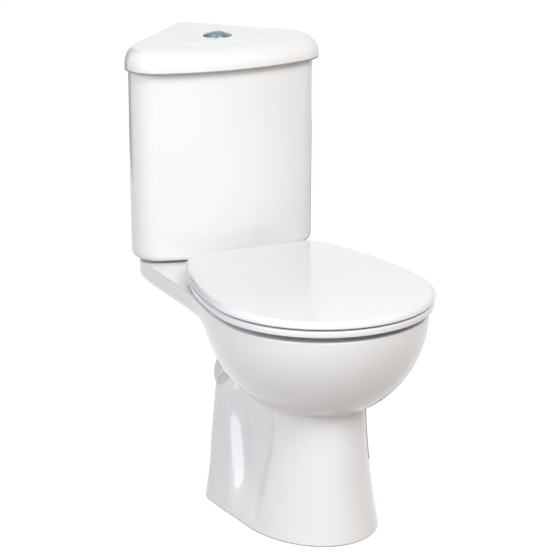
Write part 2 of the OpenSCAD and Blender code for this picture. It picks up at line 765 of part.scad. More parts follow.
module flush_valve_base() {
    bore = tail_r - 4;
    color(blue) translate([0, valve_y, 0]) difference() {
        rotate_extrude($fn = 64) polygon([[bore, cistern_z - tail_l], [tail_r, cistern_z - tail_l],
            [tail_r, base_z], [flange_r, base_z], [flange_r, drum_z], [drum_r, drum_z],
            [drum_r, cage_z], [drum_r - 3, cage_z], [drum_r - 3, drum_z], [bore + 3, drum_z],
            [bore + 3, seal_disc_z], [bore, seal_disc_z]]);
        for (a = [45:90:315]) rotate(a) translate([0, -13, drum_z + 7])
            cube([drum_r + 2, 26, drum_h - 14]);
    }
}

module flush_valve_washer() {
    color(rubber) translate([0, valve_y, floor_z]) tube(flange_r - 1, tail_r + run_gap, seal_t);
}

module flush_valve_nut() {
    color(plastic) translate([0, valve_y, cistern_z - back_nut_h]) difference() {
        union() {
            cylinder(r = back_nut_r - 2, h = back_nut_h, $fn = 64);
            for (a = [0:45:315]) rotate(a) translate([back_nut_r - 5, -4, 0])
                cube([4.5, 8, back_nut_h]);
        }
        translate([0, 0, -1]) cylinder(r = tail_r + run_gap, h = back_nut_h + 2, $fn = 64);
    }
}

// Cage of ribs that carries the valve's head, with a guide for the overflow tube
module flush_valve_tower() {
    guide = overflow_r + guide_gap;
    top = head_z + head_h;
    color(plastic) translate([0, valve_y, 0]) difference() {
        union() {
            translate([0, 0, cage_z]) tube(drum_r, drum_r - 5, 5);
            for (a = [0:90:270]) rotate(a) translate([drum_r - 5, -3, cage_z])
                cube([4, 6, cage_h + 2]);
            rotate_extrude($fn = 64) polygon([[guide, head_z], [drum_r, head_z],
                [drum_r, top - 4], [drum_r - 4, top], [0, top], [0, top - 6],
                [drum_r - 7, top - 6], [drum_r - 3, top - 10], [drum_r - 3, head_z + 8],
                [guide, head_z + 8]]);
        }
        for (x = [-rod_full_x, rod_half_x]) translate([x, 0, top - 8])
            cylinder(r = rod_r + guide_gap, h = 10, $fn = 32);
    }
}

module overflow_tube() {
    color(plastic) translate([0, valve_y, tube_z]) difference() {
        union() {
            cylinder(r = overflow_r, h = overflow_l, $fn = 48);
            cylinder(r = overflow_r + 9, h = 3, $fn = 48);
        }
        translate([0, 0, -1]) cylinder(r = overflow_r - 2, h = overflow_l + 2, $fn = 48);
    }
}

module flush_seal() {
    color(rubber) translate([0, valve_y, seal_disc_z])
        tube(tail_r + 0.5, overflow_r - 2, seal_disc_t);
}

// ---------- fill valve ----------

fill_top = base_z + flange_t + column_h;
fill_cap_z = fill_top + fill_head_h;
float_z = fill_top - float_h - float_travel - 14;
shank_r = inlet_tail_r + 0.6;
pivot_x = 11;
link_x = arm_l - pivot_x;
pivot_z = fill_cap_z + 9;
link_r = 1.6;

module fill_place() {
    translate([-fill_x, fill_y, 0]) children();
}

module fill_valve_body() {
    low = cistern_z - back_nut_h - inlet_tail_l;
    color(plastic) fill_place() difference() {
        union() {
            translate([0, 0, low]) cylinder(r = inlet_tail_r, h = inlet_tail_l + 1, $fn = 48);
            translate([0, 0, low + inlet_tail_l])
                cylinder(r = shank_r, h = base_z - low - inlet_tail_l + 1, $fn = 48);
            translate([0, 0, base_z]) cylinder(r = inlet_tail_r + 6, h = flange_t, $fn = 48);
            translate([0, 0, base_z + flange_t]) cylinder(r = column_r, h = column_h, $fn = 48);
        }
        translate([0, 0, low - 1]) cylinder(r = 5, h = fill_top - low - 8, $fn = 32);
    }
}

module fill_valve_washer() {
    color(rubber) fill_place() translate([0, 0, floor_z])
        tube(inlet_tail_r + 5, shank_r + run_gap, seal_t);
}

module fill_valve_nut() {
    color(plastic) fill_place() translate([0, 0, cistern_z - back_nut_h]) difference() {
        union() {
            cylinder(r = inlet_tail_r + 4.5, h = back_nut_h, $fn = 6);
            translate([0, 0, back_nut_h - 3]) cylinder(r = inlet_tail_r + 6, h = 3, $fn = 48);
        }
        translate([0, 0, -1]) cylinder(r = shank_r + run_gap, h = back_nut_h + 2, $fn = 48);
    }
}

module fill_valve_head() {
    color(plastic) fill_place() translate([0, 0, fill_top]) {
        cylinder(r = fill_head_r, h = fill_head_h, $fn = 48);
        translate([0, 0, 6]) rotate([90, 0, 0]) cylinder(r = 4, h = fill_head_r + 8, $fn = 32);
    }
}

// Cap with the two ears that hold the float arm
module fill_valve_cap() {
    color(blue) fill_place() difference() {
        union() {
            translate([0, 0, fill_cap_z]) cylinder(r = fill_head_r + 0.5, h = 3, $fn = 48);
            for (y = [-7, 4]) translate([-pivot_x - 3.5, y, fill_cap_z + 2])
                cube([7, 3, pivot_z - fill_cap_z + 1]);
        }
        translate([-pivot_x, 10, pivot_z]) rotate([90, 0, 0])
            cylinder(r = 1.5 + run_gap, h = 20, $fn = 24);
    }
}

module float_cup() {
    stop = pivot_z - 4;
    color(grey) fill_place() {
        translate([0, 0, float_z]) difference() {
            cylinder(r = float_r, h = float_h, $fn = 64);
            translate([0, 0, -1]) cylinder(r = column_r + guide_gap, h = float_h + 2, $fn = 48);
            translate([0, 0, -1]) difference() {
                cylinder(r = float_r - 2.5, h = float_h - 3, $fn = 64);
                cylinder(r = column_r + 3, h = float_h, $fn = 48);
            }
        }
        translate([link_x, 0, float_z + float_h - 1])
            cylinder(r = link_r, h = pivot_z + 6 - float_z - float_h, $fn = 24);
        translate([link_x, 0, stop - 3]) cylinder(r = link_r + gap + 0.6, h = 3, $fn = 24);
        translate([link_x - 6, -3, float_z + float_h - 1]) cube([7, 6, 4]);
    }
}

// Arm that the float's link lifts, on its own pin between the cap's ears
module float_arm() {
    color(plastic) fill_place() translate([-pivot_x, 0, pivot_z]) {
        rotate([90, 0, 0]) translate([0, 0, -7]) cylinder(r = 1.5, h = 14, $fn = 24);
        difference() {
            union() {
                rotate([90, 0, 0]) translate([0, 0, -3.4]) cylinder(r = 3, h = 6.8, $fn = 32);
                translate([0, -3.4, -3]) cube([arm_l + 8, 6.8, 6]);
            }
            translate([arm_l - 5, -link_r - gap, -4]) cube([10, 2 * (link_r + gap), 8]);
        }
    }
}

// ---------- cistern lid and push button ----------

function lid_ring(e, ew, rc, z) =
    at(corner_plan(e - lid_front, ew - lid_back, cistern_side_r + 8 - rc, cistern_corner_r), lid_z + z);

shoulder_h = lid_h - lid_side - lid_crown;
crown_y = corner_y - cistern_half + 4;
function crown_rings(base, z, rise, dome) =
    [for (s = [0.8, 0.55, 0.3, 0.08]) [for (p = base)
        [p[0] * s, crown_y + (p[1] - crown_y) * s, z + rise * (1 - dome * s * s)]]];

module lid_outside() {
    shoulder = [for (a = [15, 30, 45, 58, 70, 81, 90])
        let (e = lid_roll * (1 - cos(a)))
        lid_ring(e, 0.3 * e, min(0.6 * e, cistern_side_r), lid_side + shoulder_h * sin(a))];
    loft(concat([lid_ring(4, 4, 4, 0), lid_ring(1.6, 1.6, 1.6, 0.8), lid_ring(0, 0, 0, 4),
        lid_ring(0, 0, 0, lid_side)], shoulder,
        crown_rings(shoulder[6], lid_top - lid_crown, lid_crown, 1)));
}

module lid_inside() {
    top = lid_side + shoulder_h - lid_wall;
    loft([lid_ring(lid_front + lid_wall, lid_back + lid_wall, lid_wall + 8, -lid_gap - lid_lip - 1),
        lid_ring(lid_front + lid_wall, lid_back + lid_wall, lid_wall + 8, mix(0, top, 0.45)),
        lid_ring(lid_front + lid_wall + 12, lid_back + lid_wall + 4, lid_wall + 18, top)]);
}

// Bearing ring on the body's edge, and the lip that drops inside it
module lid_seat() {
    loft([for (z = [-lid_gap, 6]) lid_ring(lid_front + 3, lid_back + 3, 11, z)]);
}

module lid_lip_solid() {
    d = cistern_wall + 1.5;
    loft([for (z = [-lid_gap - lid_lip, 6])
        lid_ring(lid_front + d, lid_back + d, 8 + d, z)]);
}

lip_in = 14;
module lid_hollow() {
    top = lid_side + shoulder_h - lid_wall;
    loft([lid_ring(lid_front + lip_in, lid_back + lip_in, lip_in + 8, -lid_gap - lid_lip - 1),
        lid_ring(lid_front + lip_in, lid_back + lip_in, lip_in + 8, mix(0, top, 0.4)),
        lid_ring(lid_front + lip_in + 14, lid_back + lip_in + 4, lip_in + 20, top)]);
}

pad_z = lid_top - lid_crown * pow((valve_y - crown_y) / 90, 2) - 0.8;

module cistern_lid() {
    color(china) difference() {
        casting_at(lid_z - lid_gap - lid_lip, lid_h + lid_gap + lid_lip - 0.0064 * lid_crown)
            difference() {
                union() {
                    lid_outside();
                    lid_seat();
                    lid_lip_solid();
                }
                lid_hollow();
            }
        translate([0, valve_y, lid_z]) cylinder(r = barrel_r + gap, h = lid_h + 2, $fn = 64);
        translate([0, valve_y, pad_z]) cylinder(r = collar_r + 1, h = 10, $fn = 64);
    }
}

lid_under = lid_z + lid_side + shoulder_h - lid_wall;
button_top = lid_top + button_h;
collar_h = button_h * 0.45;
button_low = pad_z - 9;
barrel_z = pad_z - barrel_l;

module button_collar() {
    inner = barrel_r - barrel_t;
    color(chrome) translate([0, valve_y, 0]) difference() {
        rotate_extrude($fn = 64) polygon([[0, barrel_z], [barrel_r, barrel_z], [barrel_r, pad_z],
            [collar_r, pad_z], [collar_r - 0.6, pad_z + 1.6], [collar_r - 2.2, pad_z + collar_h],
            [inner, pad_z + collar_h + 0.5], [inner, barrel_z + 3], [0, barrel_z + 3]]);
        for (x = [-rod_full_x, rod_half_x]) translate([x, 0, barrel_z - 1])
            cylinder(r = rod_r + guide_gap, h = 6, $fn = 32);
    }
}

module button_nut() {
    color(plastic) translate([0, valve_y, lid_under - 7]) difference() {
        union() {
            cylinder(r = barrel_r + 6, h = 7, $fn = 64);
            for (a = [0:60:300]) rotate(a) translate([barrel_r + 4, -4, 0]) cube([5, 8, 7]);
        }
        translate([0, 0, -1]) cylinder(r = barrel_r + run_gap, h = 9, $fn = 64);
    }
}

// The whole button's turned form, cut in two along the split
module button_form() {
    r = barrel_r - barrel_t - gap;
    rim = pad_z + collar_h + 0.8;
    rise = button_top - rim;
    big = (r * r + rise * rise) / (2 * rise);
    difference() {
        intersection() {
            translate([0, 0, button_low]) cylinder(r = r, h = 40, $fn = 64);
            translate([0, 0, button_top - big]) sphere(r = big, $fn = 96);
        }
        translate([0, 0, button_low - 1]) cylinder(r = r - 2.5, h = 6, $fn = 64);
    }
}

module full_flush_button() {
    color(chrome) translate([0, valve_y, 0]) intersection() {
        button_form();
        translate([button_split - gap - 60, -30, button_low - 2]) cube([60, 60, 60]);
    }
}

module half_flush_button() {
    color(chrome) translate([0, valve_y, 0]) intersection() {
        button_form();
        translate([button_split + gap, -30, button_low - 2]) cube([60, 60, 60]);
    }
}

module push_rod() {
    low = head_z + head_h - 5 + button_travel;
    color(plastic) translate([0, valve_y, low])
        cylinder(r = rod_r, h = button_low + 5 - low, $fn = 32);
}

module full_flush_rod() {
    translate([-rod_full_x, 0, 0]) push_rod();
}

module half_flush_rod() {
    translate([rod_half_x, 0, 0]) push_rod();
}

// ---------- seat, cover and hinges ----------

function seat_plan(d) =
    let (r = seat_side_r - d,
        rc = max(seat_corner_r - 0.8 * d, 3),
        yb = seat_back_y - d,
        xc = seat_w / 2 - seat_side_r,
        y = yb - rc,
        x = xc + sqrt(pow(r - rc, 2) - pow(y - bowl_y, 2)),
        turn = atan2(y - bowl_y, x - xc))
    mirrored(concat(
        [for (i = [0:12]) let (t = -90 + 90 * i / 13)
            [(seat_w / 2 - d) * cos(t), bowl_y + (seat_front - d) * sin(t)]],
        [for (i = [0:4]) let (t = turn * i / 5) [xc + r * cos(t), bowl_y + r * sin(t)]],
        [for (i = [0:5]) let (t = mix(turn, 90, i / 5)) [x + rc * cos(t), y + rc * sin(t)]],
        [for (i = [1:4]) [x * (1 - i / 4), yb]]));

hole_f = hole_l * 0.448;
hole_y = front_y + ring_front + hole_f;

// Sections round the ring: the outer edge, the crowned top and the inner edge
module ring_form() {
    plans = [for (d = [6.5, 2.6, 1.5, 2.6, 6.5]) seat_plan(d)];
    rise = [0, 0.16, 0.5, 0.84, 1];
    function inner(p, d) =
        let (th = atan2(p[0], hole_y - p[1]),
            r = egg(th, hole_y, hole_y, hole_w / 2 + d, hole_f + d, hole_l - hole_f + d))
        [r * sin(th), hole_y - r * cos(th)];
    hoop([for (i = [0:len(plans[0]) - 1])
        let (p = plans[2][i])
        concat([for (k = [0:4]) [plans[k][i][0], plans[k][i][1], seat_z + seat_t * rise[k]]],
            [for (q = [[8, 0.93], [2.5, 0.75], [0, 0.42], [1.5, 0.14], [5, 0]])
                let (w = inner(p, q[0])) [w[0], w[1], seat_z + seat_t * q[1]]])]);
}

post_x = hinge_x - post_w / 2;
cover_x = hinge_x + post_w / 2 + gap + 0.3;
notch_x0 = post_x - 2.5;
notch_x1 = cover_x + cover_knuckle_w + 2.2;

// Along X from x, round the hinge axis
module on_axis(x, r, w) {
    translate([x, hinge_y, hinge_z]) rotate([0, 90, 0]) cylinder(r = r, h = w, $fn = 32);
}

module seat_ring() {
    color(plastic) difference() {
        casting_at(seat_z, seat_t) ring_form();
        both_sides() {
            translate([notch_x0, hinge_y - 13, seat_z - 1])
                cube([notch_x1 - notch_x0, 60, seat_t + 2]);
            on_axis(notch_x0 - pin_seat, pin_r + run_gap, notch_x1 - notch_x0 + 2 * pin_seat);
        }
    }
}

// Buffers where the ring bears on the rim
module buffers(z, h, r, places) {
    color(rubber) both_sides() for (p = places) translate([p[0], bowl_y + p[1], z])
        cylinder(r = r, h = h, $fn = 32);
}

buffer_at = [[(bowl_w + mouth_w) / 4 + 1, bowl_front / 3], [bowl_w / 4 + 1.5, -bowl_front * 5 / 8]];

module seat_buffers() {
    buffers(rim_h, seat_buffer_h, seat_buffer_r, buffer_at);
}

module cover_buffers() {
    buffers(seat_z + seat_t, cover_buffer_h, cover_buffer_r,
        [[(seat_w + hole_w) / 4 + 2, bowl_front * 2 / 9]]);
}

module cover_outside() {
    side = concat([[2, 0], [0.6, 0.6], [0, 2]],
        [for (a = [22.5, 45, 67.5, 90]) [10 * (1 - cos(a)), 2 + (cover_edge - 2) * sin(a)]]);
    loft(concat([for (q = side) at(seat_plan(q[0]), cover_z + q[1])],
        cover_rings(seat_plan(10), cover_z + cover_edge, cover_dome, 2.2)));
}

cover_mid_y = (front_y + seat_back_y) / 2 - 10;
function cover_rings(base, z, rise, p) =
    [for (s = [0.88, 0.7, 0.45, 0.2, 0.04]) [for (q = base)
        [q[0] * s, cover_mid_y + (q[1] - cover_mid_y) * s, z + rise * (1 - pow(s, p))]]];

module cover_inside() {
    top = cover_z + cover_edge - cover_t;
    loft(concat([at(seat_plan(cover_rim), cover_z - 1), at(seat_plan(cover_rim), top - 3.5),
        at(seat_plan(cover_rim + 4), top)],
        cover_rings(seat_plan(cover_rim + 4), top, cover_dome, 2.2)));
}

module seat_cover() {
    low = hinge_z - knuckle_r;
    top = cover_z + cover_edge + cover_dome * (1 - pow(0.04, 2.2));
    color(plastic) difference() {
        casting_at(low, top - low) union() {
            difference() {
                cover_outside();
                cover_inside();
            }
            both_sides() {
                on_axis(cover_x, knuckle_r, cover_knuckle_w);
                translate([cover_x, hinge_y - knuckle_r, hinge_z])
                    cube([cover_knuckle_w, 2 * knuckle_r, cover_z + 6 - hinge_z]);
            }
        }
        both_sides() on_axis(cover_x - 1, pin_r + run_gap, cover_knuckle_w + 2);
    }
}

module hinge_posts() {
    color(chrome) both_sides() difference() {
        union() {
            translate([hinge_x, hinge_y, rim_h]) cylinder(r = post_base_r, h = post_base_t, $fn = 48);
            on_axis(post_x, knuckle_r, post_w);
            translate([post_x, hinge_y - knuckle_r, rim_h + 1])
                cube([post_w, 2 * knuckle_r, hinge_z - rim_h - 1]);
        }
        on_axis(post_x - 1, pin_r + run_gap, post_w + 2);
        translate([hinge_x, hinge_y, rim_h - 1])
            cylinder(r = bolt_r + run_gap, h = 7, $fn = 32);
    }
}

module hinge_pins() {
    color(steel) both_sides()
        on_axis(notch_x0 - pin_seat + 0.5, pin_r, notch_x1 - notch_x0 + 2 * pin_seat - 1);
}

module hinge_bolts() {
    low = deck_z - washer_t - nut_h - bolt_end;
    color(steel) both_sides() translate([hinge_x, hinge_y, low])
        cylinder(r = bolt_r, h = rim_h + 6 - low, $fn = 32);
}

// Rubber bushes that centre the hinge bolts in their holes
module hinge_washers() {
    color(rubber) both_sides() translate([hinge_x, hinge_y, deck_z]) difference() {
        union() {
            translate([0, 0, -washer_t]) cylinder(r = washer_r, h = washer_t, $fn = 48);
            cylinder(r = hinge_hole_r - 0.3, h = deck_t - 4, $fn = 48);
        }
        translate([0, 0, -washer_t - 1])
            cylinder(r = bolt_r + run_gap, h = deck_t + washer_t, $fn = 32);
    }
}

module hinge_wing_nuts() {
    color(plastic) both_sides() translate([hinge_x, hinge_y, deck_z - washer_t]) wing_nut();
}

pan();
coupling_seal();
cistern();
cistern_bolts();
cistern_bolt_washers();
cistern_plate_washers();
cistern_wing_nuts();
flush_valve_base();
flush_valve_washer();
flush_valve_nut();
flush_valve_tower();
overflow_tube();
flush_seal();
fill_valve_body();
fill_valve_washer();
fill_valve_nut();
fill_valve_head();
fill_valve_cap();
float_cup();
float_arm();
cistern_lid();
button_collar();
button_nut();
full_flush_button();
half_flush_button();
full_flush_rod();
half_flush_rod();
seat_ring();
seat_buffers();
seat_cover();
cover_buffers();
hinge_posts();
hinge_pins();
hinge_bolts();
hinge_washers();
hinge_wing_nuts();
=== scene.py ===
# Close-coupled corner toilet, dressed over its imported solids. The sections follow
# the order in which it is made and fitted: the pan, the cistern on its shelf, the
# lid and push button, the seat and its cover, the fittings, and then the studio.
# Sizes are in millimetres and enter the meshes in metres.
import math

import bmesh
import bpy
import numpy as np
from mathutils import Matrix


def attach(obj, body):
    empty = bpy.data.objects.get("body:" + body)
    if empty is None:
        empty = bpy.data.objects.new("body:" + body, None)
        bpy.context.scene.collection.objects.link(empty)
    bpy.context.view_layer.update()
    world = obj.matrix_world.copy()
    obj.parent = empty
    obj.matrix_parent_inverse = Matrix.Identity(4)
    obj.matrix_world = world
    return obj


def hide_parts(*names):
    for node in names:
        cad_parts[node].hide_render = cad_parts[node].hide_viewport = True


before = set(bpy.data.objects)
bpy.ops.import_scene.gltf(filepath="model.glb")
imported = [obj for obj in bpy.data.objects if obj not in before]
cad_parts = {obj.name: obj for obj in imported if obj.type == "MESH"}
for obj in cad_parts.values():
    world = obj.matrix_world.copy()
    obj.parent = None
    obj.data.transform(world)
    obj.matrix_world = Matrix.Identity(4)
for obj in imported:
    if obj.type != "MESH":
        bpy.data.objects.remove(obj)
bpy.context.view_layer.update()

# ---------------------------------------------------------------------------
# Pan. One slip-cast piece of vitreous china: a bowl on a narrow column, a shelf
# behind it for the cistern and a hollow foot with a recess in each side. It is
# glazed white all over, but for the foot's bottom edge and its hollow. The bare
# bottom edge is painted darker than clay, as a painted shadow line on the floor.
# ---------------------------------------------------------------------------

# Heights of the rim, the crease between bowl and foot, the shelf's underside and the outlet
RIM, CREASE, SHELF_LOW, OUTLET_Z = 390.0, 231.0, 330.0, 185.0
# From front to back: the bowl's widest line, the point that the outlines turn about, the
# foot's back, the trap's fall, the flush valve and the corner of the room
BOWL_Y = -204.0
PAN_Y = BOWL_Y + 144
FOOT_Y = 24.0
FALL_Y = 84.94
VALVE_Y = 214.0
CORNER_Y = 395.0
# The bowl's half width, and its lengths in front of and behind its widest line
BOWL_HALF, BOWL_FRONT, BOWL_REAR = 181, 180, 340
SHELF_HALF = 161
# The foot's front arch ends this far behind the bowl's widest line, and its wall is so thick
ARCH, FOOT_WALL = 61, 13
# Holes in pairs: half the distance between two, and how far back they stand
CISTERN_BOLTS = (75, 200)
HINGE_BOLTS = (77.5, 68)
FLOOR_SCREWS = (88, FOOT_Y - 46)
FILL_VALVE = (72, 262)
ROOT2 = math.sqrt(2)
# These stand for almost level, for out of reach and for an arc so long that it is straight
LEVEL, FAR, STRAIGHT = 1e-6, 1e6, 1500.0


def unit(t):
    """t kept between 0 and 1."""
    return np.clip(t, 0.0, 1.0)


def mix(a, b, t):
    """From a at t = 0 to b at t = 1."""
    return a + (b - a) * t


def smooth(a, b, x):
    """Rises from 0 at x = a to 1 at x = b, level at both ends."""
    t = unit((x - a) / (b - a))
    return t * t * (3 - 2 * t)


def curve(points, x):
    """Smooth curve through rows of [x, y, ...]: cubics whose slopes are those of the neighbours."""
    p = np.asarray(points, float)
    slopes = np.empty_like(p[:, 1:])
    slopes[1:-1] = (p[2:, 1:] - p[:-2, 1:]) / (p[2:, :1] - p[:-2, :1])
    slopes[0] = (p[1, 1:] - p[0, 1:]) / (p[1, 0] - p[0, 0])
    slopes[-1] = (p[-1, 1:] - p[-2, 1:]) / (p[-1, 0] - p[-2, 0])
    x = np.clip(x, p[0, 0], p[-1, 0])
    i = np.clip(np.searchsorted(p[:, 0], x, "right") - 1, 0, len(p) - 2)
    h = (p[i + 1, 0] - p[i, 0])[:, None]
    t = (x[:, None] - p[i, :1]) / h
    return (
        (2 * t**3 - 3 * t**2 + 1) * p[i, 1:]
        + (t**3 - 2 * t**2 + t) * h * slopes[i]
        + (3 * t**2 - 2 * t**3) * p[i + 1, 1:]
        + (t**3 - t**2) * h * slopes[i + 1]
    )


def ray(s, c, e, a, b):
    """Distance along the ray (s, c), from e behind an ellipse's centre, to its edge: axes a, b."""
    k = s * s / (a * a) + c * c / (b * b)
    l = 2 * e * c / (b * b)
    root = l * l - 4 * k * (e * e / (b * b) - 1)
    return np.where(root > 0, (np.sqrt(np.maximum(root, 0)) - l) / (2 * k), 1.0)


def egg(s, c, e, a, front, rear):
    """The same to an outline with one half ellipse in front of its centre and another behind."""
    f = ray(s, c, e, a, front)
    return np.where(e + f * c <= 0, f, ray(s, c, e, a, rear))


def planes(s, c, sides, p):
    """Distance along the ray to planes (angle, distance), whose corners a power p rounds."""
    total = sum(
        (np.maximum(abs(s) * math.sin(q) + c * math.cos(q), 0) / d) ** p
        for q, d in ((math.radians(q), d) for q, d in sides)
    )
    return np.maximum(total, 1e-300) ** (-1 / p)


def blend(outlines, p):
    """Union of outlines on the same rays: the longest, with a soft join where two are alike."""
    m = np.maximum.reduce(outlines)
    return m * sum((r / m) ** p for r in outlines) ** (1 / p)


def bowl_outline(s, c, z):
    """The bowl at height z: an egg that shrinks towards the crease along a power curve."""
    t = unit((RIM - z) / (RIM - CREASE))
    k = (1 - t**2.2) ** 0.72
    rear = mix(0.6, 1, unit(1 - t) ** 1.8) * mix(0.6, 1, unit(1.6 * k))
    half, front = BOWL_HALF * mix(0.53, 1, k), BOWL_FRONT * mix(0.62, 1, k)
    r = egg(s, c, PAN_Y - BOWL_Y - 25 * t**1.5, half, front, BOWL_REAR * rear)
    return np.where(z < CREASE - 1, 1.0, r)


def shelf_outline(s, c, z):
    """The shelf at height z: walls at 45 degrees to the room corner, on a quarter round."""
    t = unit((RIM - 22 - z) / 38)
    k = mix(0.38, 1, np.sqrt(1 - t * t))
    wall = CORNER_Y / ROOT2 - 15 - PAN_Y / ROOT2
    r = planes(s, c, [(45, wall * k), (90, SHELF_HALF * k), (180, 75)], 40)
    return np.where(z < SHELF_LOW, 1.0, r)


def neck_outline(s, c, z):
    """The neck under the shelf, which sweeps back and up from the foot."""
    t = unit((z - 150) / (SHELF_LOW - 128))
    back = np.maximum(FOOT_Y - 4 + 215 * t**1.45 - PAN_Y, 8)
    r = planes(s, c, [(0, back), (90, mix(72, 95, t**3)), (180, 60)], 7) * smooth(120, 190, z)
    return np.where(z < 140, 1.0, r)


def flare(z, h, p):
    """From 1 at the floor to 0 at height h, along a power p."""
    return unit(1 - z / h) ** p


def foot_half(z):
    """Half the foot's width at height z, before its recess: it widens to the floor."""
    return 93 + 25 * flare(z, CREASE, 1.75)


def foot_front(z):
    """Length of the foot's front arch at height z."""
    return 80 + 21 * flare(z, CREASE, 1.7) + ARCH


def recess(z):
    """Depth of the recess in the foot's side at height z: 16 mm, with a smooth lower end."""
    return 16 * smooth(5, 78, z)


def foot_outline(s, c, z):
    """The foot: an arch in front and straight sides, recessed and then swelling to the pillars."""
    half = foot_half(z)
    pillar = 94 + 25 * flare(z, CREASE + 29, 1.05)
    e = PAN_Y - (BOWL_Y + ARCH)
    f = ray(s, c, e, half, foot_front(z))
    column = np.where(e + f * c <= 0, f, ray(s, c, e, half, STRAIGHT))
    back = np.where(c > LEVEL, (FOOT_Y - PAN_Y) / np.maximum(c, LEVEL), FAR)
    y = PAN_Y + np.minimum(column, back) * c
    start = BOWL_Y + 14 * smooth(165, 45, z)
    end = BOWL_Y + 186 - 58 * smooth(215, 30, z)
    step = smooth(start - 2, start + 26, y) - smooth(end - 34, end, y)
    spread = 9 * flare(z, 62, 1.4) * smooth(BOWL_Y + 20, FOOT_Y, y)
    swell = (pillar - half) * smooth(end - 44, end, y) + spread
    side = column + (swell - recess(z) * step) / np.maximum(abs(s), 0.35)
    p = mix(6.5, 16.0, unit(z / 110))
    r = (side**-p + back**-p) ** (-1 / p)
    top = unit((z - CREASE + 29) / 36)
    rear = smooth(BOWL_Y - 26, BOWL_Y + 84, PAN_Y + r * c)
    closed = r * (1 - (1 - mix(0.5, 1, np.sqrt(1 - top * top))) * rear)
    return np.where(z > CREASE + 14, 1.0, closed)


def pan_outline(turn, z):
    """The whole pan at height z, as a distance from its middle line along each turn."""
    s, c = np.sin(turn), -np.cos(turn)
    body = blend([bowl_outline(s, c, z), shelf_outline(s, c, z), neck_outline(s, c, z)], 24)
    foot = foot_outline(s, c, z)
    ledge = bowl_outline(s, c, np.full_like(z, CREASE - 1))
    rise = unit((z - CREASE + 10) / 9)
    fillet = foot + np.clip(ledge - foot, 0, 12) * (1 - np.sqrt(1 - rise * rise)) * (z < CREASE - 1)
    return blend([body, fillet], 45)


def refined(values, n):
    """Puts n - 1 even steps between each pair of values."""
    values = np.asarray(values, float)
    return np.interp(np.arange((len(values) - 1) * n + 1) / n, np.arange(len(values)), values)


def pan_rings():
    """Rings of the outside from the floor to the rim, with a small round at either end."""
    half = refined([
        0, 8, 16, 23, 28, 31, 33, 35, 37, 39, 41, 45, 52, 60, 68, 76, 84, 91, 98, 105, 112, 118,
        123, 126, 129, 131.5, 134, 138, 142, 145, 148, 150, 152, 155, 158, 161, 164, 168, 173,
        177, 180], 4)
    turn = np.radians(np.concatenate([half, -half[-2:0:-1]]))[None, :]
    edge = np.radians(np.linspace(0, 90, 9))
    foot_round, rim_round = 2.5, 3
    z = np.concatenate([
        foot_round - foot_round * np.cos(edge[:-1]),
        refined([foot_round, 10, 24, 45, 91, 138, 185, 205, 218], 5),
        [220, 222, 223.8, 225.4, 226.8, 227.9, 228.7, 229.3, 229.7, 229.9, 230.05],
        refined([232, 234.7, 237.8, 239, 242], 2),
        [244.9, 245.1],
        refined([246, 264, 285, 306, 328, 330.5, 338, 349, 368, RIM - rim_round], 5),
        RIM - rim_round + rim_round * np.sin(edge[1:]),
        [RIM, RIM],
    ])
    inset = np.concatenate([
        foot_round - foot_round * np.sin(edge[:-1]),
        np.zeros(len(z) - 2 * len(edge[1:]) - 2),
        rim_round - rim_round * np.cos(edge[1:]),
        [6, 12],
    ])
    r = pan_outline(turn, z[:, None]) - inset[:, None]
    x, y = r * np.sin(turn), PAN_Y - r * np.cos(turn)
    return np.stack([x, y, np.broadcast_to(z[:, None], r.shape)], -1)


def both_halves(half):
    """A ring from its right half, which starts and ends on the middle line."""
    return np.vstack([half, half[-2:0:-1] * [-1, 1]])


def stacked(rows):
    """Rings of one plan each, at their heights: rows of (plan, height)."""
    return np.stack([np.column_stack([plan, np.full(len(plan), z)]) for plan, z in rows])


def loft(rings):
    """Closed solid through rings of equally many points, drawn upwards: its points and faces."""
    m, n = rings.shape[:2]
    a = np.arange(m * n).reshape(m, n)
    b = np.roll(a, -1, axis=1)
    quads = np.stack([a[:-1], b[:-1], b[1:], a[1:]], -1).reshape(-1, 4)
    return rings.reshape(-1, 3), quads.tolist() + [a[0, ::-1].tolist(), a[-1].tolist()]


def hoop(rings):
    """Closed band through rings that follow each other round and end where they began."""
    m, n = rings.shape[:2]
    a = np.arange(m * n).reshape(m, n)
    b = np.roll(a, -1, axis=1)
    quads = np.stack([a, np.roll(a, -1, axis=0), np.roll(b, -1, axis=0), b], -1).reshape(-1, 4)
    return rings.reshape(-1, 3), quads.tolist()


def solid(name, form, *finishes):
    """A Blender object for a form in millimetres, with its finishes in its material slots."""
    points, faces = form
    mesh = bpy.data.meshes.new(name)
    mesh.from_pydata((np.asarray(points) / 1000.0).tolist(), [], faces)
    work = bmesh.new()
    work.from_mesh(mesh)
    if work.calc_volume(signed=True) < 0:
        bmesh.ops.reverse_faces(work, faces=work.faces)
    work.to_mesh(mesh)
    work.free()
    mesh.update()
    made = bpy.data.objects.new(name, mesh)
    bpy.context.scene.collection.objects.link(made)
    for finish in finishes:
        mesh.materials.append(finish)
    return made


def shaped(body, steps, sharp=32):
    """Cuts or adds each solid in turn, then smooths all but the edges sharper than an angle."""
    for how, other in steps:
        change = body.modifiers.new(how, "BOOLEAN")
        change.operation = {"cut": "DIFFERENCE", "add": "UNION"}[how]
        change.object, change.solver, change.material_mode = other, "MANIFOLD", "TRANSFER"
    worked = body.evaluated_get(bpy.context.evaluated_depsgraph_get())
    done = bpy.data.meshes.new_from_object(worked)
    body.modifiers.clear()
    old, body.data = body.data, done
    bpy.data.meshes.remove(old)
    for _, other in steps:
        bpy.data.objects.remove(other)
    work = bmesh.new()
    work.from_mesh(body.data)
    limit = math.radians(sharp)
    for edge in work.edges:
        edge.smooth = edge.calc_face_angle(0) < limit
    for face in work.faces:
        face.smooth = True
    work.to_mesh(body.data)
    work.free()
    return body


